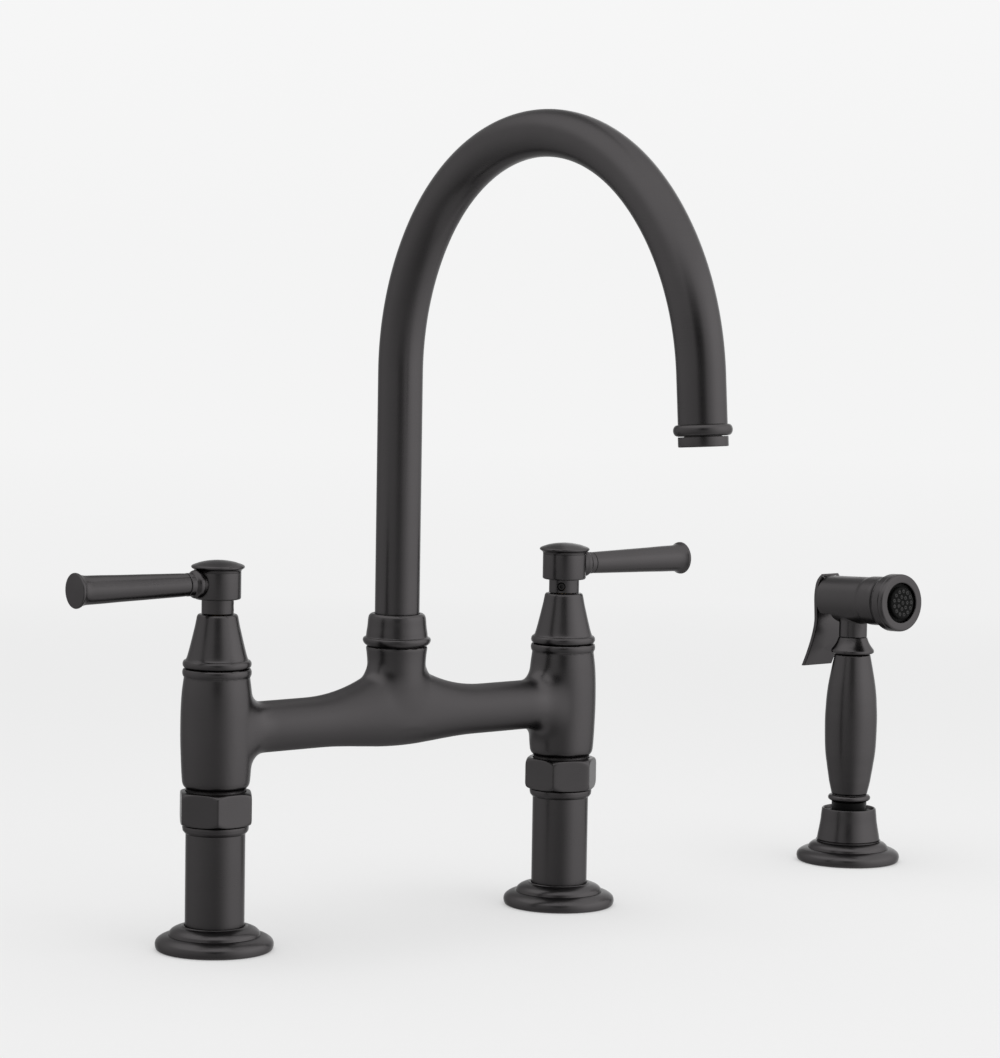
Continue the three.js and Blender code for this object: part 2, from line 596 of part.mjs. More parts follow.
function bonnet() {
  const { headBase } = cartridgeLevels();
  const skirtBase = headBase + GAP;
  const skirtRadius = BARREL_THREAD_RADIUS - GAP;
  const boreRadius = CARTRIDGE_HEAD_RADIUS + GAP;
  const headTop = headBase + CARTRIDGE_HEAD_HEIGHT + GAP;
  const spindleBore = SPINDLE_RADIUS + GAP;
  const coneBase = BONNET_BASE + BEAD_HEIGHT;
  const outline = new THREE.Path().moveTo(boreRadius, skirtBase).lineTo(skirtRadius, skirtBase)
    .lineTo(skirtRadius, BONNET_BASE).lineTo(BONNET_FOOT_RADIUS + 0.6, BONNET_BASE);
  bead(outline, BONNET_FOOT_RADIUS + 0.6, BONNET_BASE, BEAD_HEIGHT, BEAD_RADIUS - BONNET_FOOT_RADIUS - 0.6);
  outline.lineTo(BONNET_FOOT_RADIUS, coneBase + 0.4)
    .quadraticCurveTo(BONNET_TOP_RADIUS + BONNET_WAIST_OUT, coneBase + BONNET_WAIST_RISE, BONNET_TOP_RADIUS,
      BONNET_TOP - BONNET_TOP_EDGE)
    .lineTo(BONNET_TOP_RADIUS - 0.7, BONNET_TOP).lineTo(spindleBore, BONNET_TOP)
    .lineTo(spindleBore, headTop + 4).lineTo(boreRadius, headTop).closePath();
  return turned(outline);
}

// ---------------------------------------------------------------- handles

function hub(screwAngle) {
  const recess = HUB_TOP - CAP_SPIGOT_LENGTH - GAP;
  const outline = new THREE.Path().moveTo(0, NECK_BASE).lineTo(NECK_RADIUS, NECK_BASE)
    .lineTo(NECK_RADIUS, HUB_BASE).lineTo(HUB_RADIUS - 0.8, HUB_BASE)
    .lineTo(HUB_RADIUS, HUB_BASE + 0.8).lineTo(HUB_RADIUS, HUB_TOP)
    .lineTo(CAP_SPIGOT_RADIUS + GAP, HUB_TOP).lineTo(CAP_SPIGOT_RADIUS + GAP, recess)
    .lineTo(0, recess);
  const spindleHole = rod(SPINDLE_RADIUS + GAP, NECK_BASE - 1, spindleTop() + GAP);
  const studHole = alongX(rod(LEVER_STUD_RADIUS + GAP, LEVER_STUD_END - GAP, HUB_RADIUS + 1));
  const screwHole = alongX(rod(SET_SCREW_RADIUS + GAP, SPINDLE_RADIUS, NECK_RADIUS + 1));
  screwHole.rotateZ(screwAngle);
  return cut(turned(outline), spindleHole, at(studHole, 0, 0, LEVER_AXIS),
    at(screwHole, 0, 0, (NECK_BASE + HUB_BASE) / 2));
}

/** The domed cap: a flared underside, a thin rim and a spigot that locates it in the hub. */
function cap() {
  const base = HUB_TOP + GAP;
  const outline = new THREE.Path().moveTo(0, base - CAP_SPIGOT_LENGTH)
    .lineTo(CAP_SPIGOT_RADIUS, base - CAP_SPIGOT_LENGTH).lineTo(CAP_SPIGOT_RADIUS, base)
    .lineTo(HUB_RADIUS - 0.2, base)
    .quadraticCurveTo(HUB_RADIUS + 0.2, base + 1.2, CAP_RADIUS, base + CAP_RIM_RISE)
    .lineTo(CAP_RADIUS - 0.3, base + CAP_RIM_RISE + 0.6)
    .quadraticCurveTo(CAP_RADIUS / 2, base + CAP_HEIGHT, 0, base + CAP_HEIGHT);
  return turned(outline, SIDES, 3);
}

/** The collar between hub and rod, saddled to the hub's side. */
function ferrule() {
  const start = HUB_RADIUS - 3;
  const end = LEVER_ROOT - GAP;
  const bore = LEVER_STUD_RADIUS + GAP;
  const outline = new THREE.Path().moveTo(bore, start).lineTo(FERRULE_SEAT_RADIUS, start)
    .quadraticCurveTo(FERRULE_BEAD_RADIUS, HUB_RADIUS, FERRULE_BEAD_RADIUS, FERRULE_BEAD_REACH)
    .quadraticCurveTo(FERRULE_BEAD_RADIUS, FERRULE_BEAD_REACH + 0.8 * FERRULE_BEAD_SLOPE, FERRULE_RADIUS,
      FERRULE_BEAD_REACH + FERRULE_BEAD_SLOPE)
    .lineTo(FERRULE_RADIUS, end).lineTo(bore, end).closePath();
  const blank = alongX(turned(outline));
  return cut(blank, rod(HUB_RADIUS + GAP, -9, 9, SIDES));
}

function lever() {
  const flare = LEVER_LENGTH - 6.5;
  const outline = new THREE.Path().moveTo(0, LEVER_STUD_END).lineTo(LEVER_STUD_RADIUS, LEVER_STUD_END)
    .lineTo(LEVER_STUD_RADIUS, LEVER_ROOT).lineTo(LEVER_ROOT_RADIUS - 0.5, LEVER_ROOT)
    .lineTo(LEVER_ROOT_RADIUS, LEVER_ROOT + 0.6)
    .quadraticCurveTo((LEVER_ROOT_RADIUS + LEVER_TIP_RADIUS) / 2, 0.4 * LEVER_LENGTH, LEVER_TIP_RADIUS, flare)
    .quadraticCurveTo(LEVER_TIP_RADIUS + 0.2, flare + 4.5, LEVER_RIM_RADIUS, LEVER_LENGTH - 1.1)
    .lineTo(LEVER_RIM_RADIUS - 0.1, LEVER_LENGTH - 0.3).lineTo(LEVER_RIM_RADIUS - 0.5, LEVER_LENGTH)
    .lineTo(0, LEVER_LENGTH);
  return alongX(turned(outline, SIDES));
}

function setScrew(screwAngle) {
  const inner = SPINDLE_RADIUS + GAP;
  const outer = NECK_RADIUS - 0.2;
  const socketDepth = 1.2;
  const screw = rod(SET_SCREW_RADIUS, inner, outer);
  const key = rod(SET_SCREW_RADIUS * 0.55, outer - socketDepth, outer + 1, 6);
  return alongX(cut(screw, key)).rotateZ(screwAngle);
}

/** Everything that turns with one lever, built with the lever along +X. */
function handle(parent, side, x, turn) {
  const group = subgroup(parent, x, 0, 0);
  group.rotation.z = turn;
  const towardsSpout = Math.sign(-x);
  const screwAngle = rad(-90 + towardsSpout * SET_SCREW_TURN) - turn;
  const { movingDisc } = cartridgeLevels();
  const disc = rod(DISC_RADIUS, movingDisc, movingDisc + DISC_THICKNESS);
  const hollow = box(DISC_RADIUS, DISC_RADIUS * 0.7, DISC_THICKNESS, 0, 0, movingDisc);
  node(group, `${side}_moving_disc`, cut(disc, hollow), 'ceramic');
  node(group, `${side}_spindle`, spindle(), 'brass');
  node(group, `${side}_handle_hub`, hub(screwAngle), 'brushedBlack');
  node(group, `${side}_handle_cap`, cap(), 'brushedBlack');
  node(group, `${side}_lever_ferrule`, at(ferrule(), 0, 0, LEVER_AXIS), 'brushedBlack');
  node(group, `${side}_lever`, at(lever(), 0, 0, LEVER_AXIS), 'brushedBlack');
  node(group, `${side}_set_screw`, at(setScrew(screwAngle), 0, 0, (NECK_BASE + HUB_BASE) / 2), 'steel');
}

/** The fixed pieces on one side: flange, pillar, union, cartridge and bonnet. */
function pedestal(parent, side, x) {
  const group = subgroup(parent, x, 0, 0);
  const { seal, fixedDisc } = cartridgeLevels();
  const disc = rod(DISC_RADIUS, fixedDisc, fixedDisc + DISC_THICKNESS);
  const washer = ring(TAIL_LIP_RADIUS, PILLAR_BORE_RADIUS, UNION_WASHER_BASE,
    UNION_WASHER_BASE + UNION_WASHER_THICKNESS);
  const sealRing = ring(DISC_RADIUS, DISC_RADIUS - 3.4, seal, seal + CARTRIDGE_SEAL_THICKNESS);
  node(group, `${side}_flange`, flange(PILLAR_RADIUS + GAP), 'brushedBlack');
  node(group, `${side}_pillar`, pillar(), 'brushedBlack');
  node(group, `${side}_union_nut`, unionNut(NUT_TURN[side]), 'brushedBlack');
  node(group, `${side}_union_washer`, washer, 'rubber');
  node(group, `${side}_cartridge_seal`, sealRing, 'rubber');
  node(group, `${side}_fixed_disc`, cut(disc, ...ports(fixedDisc, fixedDisc + DISC_THICKNESS, 90)), 'ceramic');
  node(group, `${side}_cartridge_body`, cartridgeBody(), 'brass');
  node(group, `${side}_bonnet`, bonnet(), 'brushedBlack');
}

// ---------------------------------------------------------------- spout

/** The tube's centre line: a riser, three bends that flow into each other and a short tail. */
class Gooseneck extends THREE.Curve {
  constructor(start) {
    super();
    this.stations = [];
    this.tangents = [];
    this.place = new THREE.Vector3(0, 0, start);
    this.angle = 0;
    this.mark();
    this.straight(BEND_START - start);
    this.bend(SHOULDER_BEND_RADIUS, RISING_SHOULDER_ANGLE);
    this.bend(CROWN_BEND_RADIUS, CROWN_ANGLE);
    this.bend(SHOULDER_BEND_RADIUS, FALLING_SHOULDER_ANGLE);
    this.straight(SPOUT_TAIL);
  }

  mark() {
    const angle = rad(this.angle);
    this.stations.push(this.place.clone());
    this.tangents.push(new THREE.Vector3(0, -Math.sin(angle), Math.cos(angle)));
  }

  straight(length) {
    this.place.addScaledVector(this.tangents.at(-1), length);
    this.mark();
  }

  bend(radius, sweep) {
    const steps = Math.round(sweep / BEND_STEP);
    const chord = 2 * radius * Math.sin(rad(sweep / steps / 2));
    for (let k = 0; k < steps; k += 1) {
      const middle = rad(this.angle + sweep / steps / 2);
      this.place.y -= chord * Math.sin(middle);
      this.place.z += chord * Math.cos(middle);
      this.angle += sweep / steps;
      this.mark();
    }
  }

  get steps() {
    return this.stations.length - 1;
  }

  getPointAt(u) {
    return this.stations[Math.round(u * this.steps)].clone();
  }

  getTangentAt(u) {
    return this.tangents[Math.round(u * this.steps)].clone();
  }
}

const TUBE_BASE = SOCKET_TOP - SOCKET_THREAD_DEPTH + GAP + SPIGOT_FLANGE_THICKNESS + GAP;
const gooseneck = new Gooseneck(TUBE_BASE);

function circlePoints(radius, sides) {
  return Array.from({ length: sides }, (_, k) => {
    const angle = 2 * Math.PI * k / sides;
    return new THREE.Vector2(radius * Math.cos(angle), radius * Math.sin(angle));
  });
}

function spoutTube() {
  const section = new THREE.Shape(circlePoints(TUBE_RADIUS, TUBE_SIDES));
  section.holes.push(new THREE.Path(circlePoints(TUBE_RADIUS - TUBE_WALL, TUBE_INNER_SIDES)));
  const options = { steps: gooseneck.steps, extrudePath: gooseneck, bevelEnabled: false };
  return weld(new THREE.ExtrudeGeometry(section, options));
}

/** The base of the spout: a sleeve inside the tube, a flange and a spigot with grooves for the rings. */
function spoutSpigot() {
  const flangeBase = TUBE_BASE - GAP - SPIGOT_FLANGE_THICKNESS;
  const bore = TUBE_RADIUS - TUBE_WALL - GAP - 1.4;
  const spigotRadius = SOCKET_BORE_RADIUS - GAP;
  const floor = spigotRadius - 2 * O_RING_SECTION - GAP / 2;
  const groove = O_RING_SECTION + 0.15;
  const outline = new THREE.Path().moveTo(bore, flangeBase - SPIGOT_LENGTH)
    .lineTo(spigotRadius, flangeBase - SPIGOT_LENGTH);
  for (const level of [...O_RING_LEVELS].reverse()) {
    const middle = flangeBase - level;
    outline.lineTo(spigotRadius, middle - groove).lineTo(floor, middle - groove)
      .lineTo(floor, middle + groove).lineTo(spigotRadius, middle + groove);
  }
  const sleeveRadius = (TUBE_RADIUS - TUBE_WALL) * Math.cos(Math.PI / TUBE_INNER_SIDES) - GAP / 2;
  outline.lineTo(spigotRadius, flangeBase).lineTo(SPIGOT_FLANGE_RADIUS, flangeBase)
    .lineTo(SPIGOT_FLANGE_RADIUS, TUBE_BASE - GAP).lineTo(sleeveRadius, TUBE_BASE - GAP)
    .lineTo(sleeveRadius, TUBE_BASE + SPIGOT_SLEEVE).lineTo(bore, TUBE_BASE + SPIGOT_SLEEVE)
    .closePath();
  return turned(outline, INNER_SIDES);
}

function oRing(level) {
  const middle = TUBE_BASE - GAP - SPIGOT_FLANGE_THICKNESS - level;
  const radius = SOCKET_BORE_RADIUS - GAP - O_RING_SECTION;
  const section = new THREE.Path().absarc(radius, middle, O_RING_SECTION, 0, 2 * Math.PI);
  return turned(section, INNER_SIDES);
}

/** The collar that keeps the spout down: a skirt in the socket, a bead and a tapered body. */
function spoutCollar() {
  const bore = TUBE_RADIUS + GAP;
  const skirtRadius = SOCKET_THREAD_RADIUS - GAP;
  const beadTop = COLLAR_BASE + 1 + COLLAR_BEAD_HEIGHT;
  const outline = new THREE.Path().moveTo(bore, SOCKET_TOP - COLLAR_SKIRT)
    .lineTo(skirtRadius, SOCKET_TOP - COLLAR_SKIRT).lineTo(skirtRadius, COLLAR_BASE)
    .lineTo(COLLAR_FOOT_RADIUS - 0.3, COLLAR_BASE).lineTo(COLLAR_FOOT_RADIUS, COLLAR_BASE + 1);
  bead(outline, COLLAR_FOOT_RADIUS, COLLAR_BASE + 1, COLLAR_BEAD_HEIGHT, COLLAR_BEAD_RADIUS - COLLAR_FOOT_RADIUS);
  outline.quadraticCurveTo(COLLAR_TOP_RADIUS + 0.4, beadTop + 5, COLLAR_TOP_RADIUS, SPOUT_COLLAR_TOP - 2)
    .quadraticCurveTo(COLLAR_TOP_RADIUS, SPOUT_COLLAR_TOP - 0.2, COLLAR_TOP_RADIUS - 1.8, SPOUT_COLLAR_TOP)
    .lineTo(bore, SPOUT_COLLAR_TOP).closePath();
  return turned(outline);
}

function bearingRing() {
  const outer = SOCKET_THREAD_RADIUS - GAP;
  return ring(outer, TUBE_RADIUS + GAP, TUBE_BASE, TUBE_BASE + BEARING_RING_THICKNESS, SIDES);
}

/** The pieces round the outlet, along the tube's last direction. Z = 0 is the tube's end. */
function outlet(parent) {
  const end = gooseneck.stations.at(-1);
  const group = subgroup(parent, end.x, end.y, end.z);
  group.rotation.x = rad(gooseneck.angle - 180);
  const tubeBore = (TUBE_RADIUS - TUBE_WALL) * Math.cos(Math.PI / TUBE_INNER_SIDES);
  const threadRadius = tubeBore - GAP;
  const ringHeight = OUTLET_RING_ABOVE + OUTLET_RING_BELOW;
  const collar = new THREE.Path().moveTo(tubeBore, -OUTLET_RING_BELOW)
    .lineTo(AERATOR_RADIUS, -OUTLET_RING_BELOW);
  bead(collar, AERATOR_RADIUS, -OUTLET_RING_BELOW, ringHeight, OUTLET_RING_RADIUS - AERATOR_RADIUS);
  collar.lineTo(TUBE_RADIUS + GAP / 2, OUTLET_RING_ABOVE).lineTo(TUBE_RADIUS + GAP / 2, -GAP)
    .lineTo(tubeBore, -GAP).closePath();
  node(group, 'outlet_ring', turned(collar), 'brushedBlack');

  const shellTop = -OUTLET_RING_BELOW - GAP;
  const shellBase = shellTop - AERATOR_LENGTH;
  const bore = threadRadius - AERATOR_WALL;
  const screenBase = shellBase + SCREEN_RECESS;
  const screenTop = screenBase + SCREEN_THICKNESS;
  const stop = screenTop + GAP;
  const shell = new THREE.Path().moveTo(bore, shellBase).lineTo(AERATOR_RADIUS - 0.5, shellBase)
    .lineTo(AERATOR_RADIUS, shellBase + 0.5).lineTo(AERATOR_RADIUS, shellTop)
    .lineTo(threadRadius, shellTop).lineTo(threadRadius, shellTop + AERATOR_THREAD)
    .lineTo(bore - 1, shellTop + AERATOR_THREAD).lineTo(bore - 1, stop).lineTo(bore, stop).closePath();
  node(group, 'aerator_housing', turned(shell), 'brushedBlack');

  const holes = [[0, 1], [2.6, 5], [5, 9]].flatMap(([radius, count]) =>
    Array.from({ length: count }, (_, k) => {
      const hole = rod(SCREEN_HOLE_RADIUS, screenBase - 1, screenTop + 1, 4);
      return at(hole, radius, 0, 0).rotateZ(2 * Math.PI * k / count);
    }));
  node(group, 'aerator_screen', cut(rod(bore - GAP, screenBase, screenTop), ...holes), 'nylon');

  const washerBase = shellTop + AERATOR_THREAD + GAP;
  const washer = ring(threadRadius, bore - 1, washerBase, washerBase + AERATOR_WASHER_THICKNESS);
  node(group, 'aerator_washer', washer, 'rubber');
}

function spout(parent) {
  node(parent, 'spout_tube', spoutTube(), 'brushedBlack');
  node(parent, 'spout_spigot', spoutSpigot(), 'brass');
  node(parent, 'spout_upper_o_ring', oRing(O_RING_LEVELS[0]), 'rubber');
  node(parent, 'spout_lower_o_ring', oRing(O_RING_LEVELS[1]), 'rubber');
  node(parent, 'spout_bearing_ring', bearingRing(), 'nylon');
  node(parent, 'spout_collar', spoutCollar(), 'brushedBlack');
  outlet(parent);
}

// ---------------------------------------------------------------- sprayer holder

const CUP_BORE_RADIUS = CUP_LIP_RADIUS - CUP_WALL;
const BUSH_RADIUS = CUP_BORE_RADIUS - GAP;
const BUSH_BORE_RADIUS = CONNECTOR_RADIUS + GAP;

function holderCup() {
  const shank = CUP_FOOT_RADIUS - 0.5;
  const outline = new THREE.Path().moveTo(HOSE_HOLE_RADIUS + 1, 0).lineTo(shank, 0)
    .lineTo(shank, FLANGE_HEIGHT + GAP).lineTo(CUP_FOOT_RADIUS, FLANGE_HEIGHT + GAP)
    .quadraticCurveTo(CUP_LIP_RADIUS + 0.5, CUP_HEIGHT - 8, CUP_LIP_RADIUS, CUP_HEIGHT - 0.6)
    .lineTo(CUP_LIP_RADIUS - 0.5, CUP_HEIGHT).lineTo(CUP_BORE_RADIUS, CUP_HEIGHT)
    .lineTo(CUP_BORE_RADIUS, CUP_FLOOR).lineTo(HOSE_HOLE_RADIUS + 1, CUP_FLOOR).closePath();
  return turned(outline);
}

function holderBush() {
  const base = CUP_FLOOR + GAP;
  const top = CUP_HEIGHT - 1.6;
  const outline = new THREE.Path().moveTo(HOSE_HOLE_RADIUS, base).lineTo(BUSH_RADIUS, base)
    .lineTo(BUSH_RADIUS, top).lineTo(BUSH_BORE_RADIUS + 1, top).lineTo(BUSH_BORE_RADIUS, top - 1)
    .lineTo(BUSH_BORE_RADIUS, BUSH_SEAT).lineTo(HOSE_HOLE_RADIUS, BUSH_SEAT).closePath();
  return turned(outline);
}

// ---------------------------------------------------------------- sprayer wand

const HANDLE_BASE = CONNECTOR_TOP + GAP + END_RING_HEIGHT + GAP;
const HANDLE_TOP = HANDLE_BASE + HANDLE_LENGTH;
const WAND_COLLAR_BASE = HANDLE_TOP + GAP;
const WAND_COLLAR_TOP = WAND_COLLAR_BASE + WAND_COLLAR_HEIGHT;

function hoseConnector() {
  const shoulder = BUSH_SEAT + GAP;
  const tail = shoulder - CONNECTOR_TAIL_LENGTH;
  const outline = new THREE.Path().moveTo(WAND_BORE_RADIUS, tail).lineTo(CONNECTOR_TAIL_RADIUS, tail)
    .lineTo(CONNECTOR_TAIL_RADIUS, shoulder).lineTo(CONNECTOR_RADIUS, shoulder)
    .lineTo(CONNECTOR_RADIUS, CONNECTOR_TOP).lineTo(CONNECTOR_NECK_RADIUS, CONNECTOR_TOP)
    .lineTo(CONNECTOR_NECK_RADIUS, CONNECTOR_TOP + CONNECTOR_NECK_LENGTH)
    .lineTo(WAND_BORE_RADIUS, CONNECTOR_TOP + CONNECTOR_NECK_LENGTH).closePath();
  return turned(outline);
}

function endRing() {
  const base = CONNECTOR_TOP + GAP;
  const bore = CONNECTOR_NECK_RADIUS + GAP;
  const outline = new THREE.Path().moveTo(bore, base).lineTo(CONNECTOR_RADIUS, base);
  bead(outline, CONNECTOR_RADIUS, base, END_RING_HEIGHT, END_RING_RADIUS - CONNECTOR_RADIUS);
  return turned(outline.lineTo(bore, base + END_RING_HEIGHT).closePath());
}

/** The turned handle: slim at both ends, widest below its middle. */
function wandHandle() {
  const belly = HANDLE_BASE + HANDLE_BELLY_LEVEL;
  const [lower, upper] = [belly - HANDLE_BASE, HANDLE_TOP - belly];
  const bore = Math.max(HEAD_SPIGOT_RADIUS, CONNECTOR_NECK_RADIUS) + GAP;
  const outline = new THREE.Path().moveTo(bore, HANDLE_BASE).lineTo(HANDLE_FOOT_RADIUS, HANDLE_BASE)
    .bezierCurveTo(HANDLE_FOOT_RADIUS + HANDLE_FOOT_SWELL, HANDLE_BASE + lower / 3,
      HANDLE_RADIUS, belly - lower / 2, HANDLE_RADIUS, belly)
    .bezierCurveTo(HANDLE_RADIUS, belly + upper / 2, HANDLE_TOP_RADIUS + HANDLE_TOP_SWELL, HANDLE_TOP - upper / 3,
      HANDLE_TOP_RADIUS, HANDLE_TOP)
    .lineTo(bore, HANDLE_TOP).closePath();
  return turned(outline, SIDES, 4);
}

function wandCollar() {
  const bore = HEAD_SPIGOT_RADIUS + GAP;
  const widest = WAND_COLLAR_BASE + 1.8;
  const outline = new THREE.Path().moveTo(bore, WAND_COLLAR_BASE)
    .lineTo(HANDLE_TOP_RADIUS, WAND_COLLAR_BASE)
    .quadraticCurveTo(WAND_COLLAR_RADIUS, WAND_COLLAR_BASE + 0.2, WAND_COLLAR_RADIUS, widest)
    .quadraticCurveTo(HEAD_NECK_RADIUS + 1.1, widest + 2.6, HEAD_NECK_RADIUS + 0.1, WAND_COLLAR_TOP)
    .lineTo(bore, WAND_COLLAR_TOP).closePath();
  return turned(outline, SIDES, 3);
}

/** The head: a chambered barrel on the tilted axis, with its neck, spigot and trigger ears. */
function headBody() {
  const nose = -HEAD_THREAD_END;
  const outline = new THREE.Path().moveTo(HEAD_BORE_RADIUS, nose).lineTo(HEAD_THREAD_RADIUS, nose)
    .lineTo(HEAD_THREAD_RADIUS, -SLEEVE_END).lineTo(SLEEVE_END_RADIUS, -SLEEVE_END)
    .quadraticCurveTo(SLEEVE_RADIUS + 0.2, -SLEEVE_END + 1, SLEEVE_RADIUS, -SLEEVE_FLARE_START)
    .lineTo(SLEEVE_RADIUS, -SLEEVE_START - 0.8).lineTo(HEAD_RADIUS, -SLEEVE_START)
    .lineTo(HEAD_RADIUS, HEAD_BACK - HEAD_BACK_ROUND)
    .quadraticCurveTo(HEAD_RADIUS, HEAD_BACK, HEAD_RADIUS - HEAD_BACK_ROUND, HEAD_BACK)
    .lineTo(BUTTON_RADIUS + GAP, HEAD_BACK).lineTo(BUTTON_RADIUS + GAP, POCKET_BACK)
    .lineTo(POCKET_RADIUS, POCKET_BACK).lineTo(POCKET_RADIUS, POCKET_FRONT)
    .lineTo(VALVE_ROD_RADIUS + GAP, POCKET_FRONT).lineTo(VALVE_ROD_RADIUS + GAP, POCKET_FRONT - POCKET_WEB)
    .lineTo(HEAD_BORE_RADIUS, POCKET_FRONT - POCKET_WEB).lineTo(HEAD_BORE_RADIUS, -VALVE_WALL_BACK)
    .lineTo(VALVE_HOLE_RADIUS, -VALVE_WALL_BACK).lineTo(VALVE_HOLE_RADIUS, -VALVE_WALL_FRONT)
    .lineTo(HEAD_BORE_RADIUS, -VALVE_WALL_FRONT).closePath();
  const barrelSolid = cut(alongY(turned(outline)), heelCut(), leanCut());
  const upright = (geometry) => geometry.rotateX(rad(HEAD_TILT));
  const neck = upright(rod(HEAD_NECK_RADIUS, -HEAD_LEVEL + GAP, -HEAD_BORE_RADIUS - 1, SIDES));
  const spigotEnd = -HEAD_LEVEL - HEAD_SPIGOT_LENGTH;
  const spigot = upright(rod(HEAD_SPIGOT_RADIUS, spigotEnd, -HEAD_LEVEL + 1, SIDES));
  const waterway = upright(rod(WAND_BORE_RADIUS, spigotEnd - 1, 0));
  return cut(join(barrelSolid, neck, spigot, ...ears()), waterway, pinHole(), knuckleSpace());
}

/** What is cut away under the back of the barrel. */
function heelCut() {
  const depth = 2 * HEAD_BACK;
  return box(3 * HEAD_RADIUS, depth, HEAD_RADIUS, 0, HEEL_START + depth / 2, HEEL_LEVEL - HEAD_RADIUS / 2);
}

/** What is cut off the back of the barrel, along a plane that leans in below the trigger's pin. */
function leanCut() {
  const size = 4 * HEAD_RADIUS;
  const block = box(size, size, size, 0, size / 2, -size / 2).rotateX(-rad(HEAD_BACK_LEAN));
  return at(block, 0, HEAD_BACK + GAP / 2, PIVOT_LEVEL);
}

/** Two ears that carry the trigger's pin behind the top of the head. */
function ears() {
  const radius = KNUCKLE_RADIUS - 0.3;
  const underside = POCKET_RADIUS + 0.4;
  const shape = new THREE.Shape().moveTo(EAR_ROOT, underside)
    .lineTo(POCKET_BACK, underside).lineTo(PIVOT_BACK, PIVOT_LEVEL - radius)
    .absarc(PIVOT_BACK, PIVOT_LEVEL, radius, -Math.PI / 2, Math.PI / 2)
    .lineTo(EAR_ROOT, PIVOT_LEVEL);
  return [-1, 1].map((side) => {
    const ear = sideways(plate(shape, -EAR_THICKNESS / 2, EAR_THICKNESS / 2));
    return at(ear, side * (KNUCKLE_HALF_WIDTH + GAP + EAR_THICKNESS / 2), 0, 0);
  });
}

/** Turns a plate drawn in (back, up) so that it stands in the head's own frame. */
const sideways = (geometry) => geometry.rotateX(Math.PI / 2).rotateZ(Math.PI / 2);

const pinHole = () => {
  const reach = KNUCKLE_HALF_WIDTH + GAP + EAR_THICKNESS + GAP / 2;
  return at(alongX(rod(PIN_RADIUS + GAP, -reach, reach, 12)), 0, PIVOT_BACK, PIVOT_LEVEL);
};

const knuckleSpace = () => {
  const radius = KNUCKLE_RADIUS + GAP;
  const reach = KNUCKLE_HALF_WIDTH + GAP;
  return at(alongX(rod(radius, -reach, reach, 16)), 0, PIVOT_BACK, PIVOT_LEVEL);
};

/** The ring that holds the spray face: a grooved rim, dished in to its opening. */
function bezel() {
  const back = -(SLEEVE_END + GAP);
  const bore = HEAD_THREAD_RADIUS + GAP;
  const outline = new THREE.Path().moveTo(BEZEL_HOLE_RADIUS, -BEZEL_SHOULDER)
    .lineTo(BEZEL_HOLE_RADIUS, -BEZEL_FRONT + 2).lineTo(BEZEL_RADIUS - 3.2, -BEZEL_FRONT)
    .quadraticCurveTo(BEZEL_RADIUS, -BEZEL_FRONT, BEZEL_RADIUS, -BEZEL_FRONT + 1.8)
    .lineTo(BEZEL_RADIUS, -BEZEL_GROOVE - BEZEL_GROOVE_SIZE)
    .lineTo(BEZEL_RADIUS - BEZEL_GROOVE_SIZE, -BEZEL_GROOVE)
    .lineTo(BEZEL_RADIUS, -BEZEL_GROOVE + BEZEL_GROOVE_SIZE).lineTo(BEZEL_RADIUS, back - 1)
    .lineTo(SLEEVE_END_RADIUS, back).lineTo(bore, back).lineTo(bore, -BEZEL_SHOULDER).closePath();
  return alongY(turned(outline, SIDES, 3));
}

/** The black spray face: a shouldered disc with a raised middle and rings of small nozzles. */
function sprayFace() {
  const back = -(HEAD_THREAD_END + GAP);
  const shoulder = -(BEZEL_SHOULDER - GAP);
  const moat = shoulder - 0.9;
  const outline = new THREE.Path().moveTo(0, back).lineTo(HEAD_THREAD_RADIUS, back)
    .lineTo(HEAD_THREAD_RADIUS, shoulder).lineTo(BEZEL_HOLE_RADIUS - GAP, shoulder)
    .lineTo(BEZEL_HOLE_RADIUS - GAP, moat).lineTo(SPRAY_FACE_RADIUS, moat)
    .lineTo(SPRAY_FACE_RADIUS, -SPRAY_FACE_FRONT + 0.6)
    .lineTo(SPRAY_FACE_RADIUS - 0.6, -SPRAY_FACE_FRONT).lineTo(0, -SPRAY_FACE_FRONT);
  const nozzles = SPRAY_RINGS.flatMap(([radius, count]) =>
    Array.from({ length: count }, (_, k) => {
      const tip = -SPRAY_FACE_FRONT - SPRAY_NOZZLE_HEIGHT;
      const nozzle = rod(SPRAY_NOZZLE_RADIUS, tip, -SPRAY_FACE_FRONT + 0.3, 4);
      return at(nozzle, radius, 0, 0).rotateZ(2 * Math.PI * k / count);
    }));
  return alongY(join(turned(outline, SIDES), ...nozzles));
}

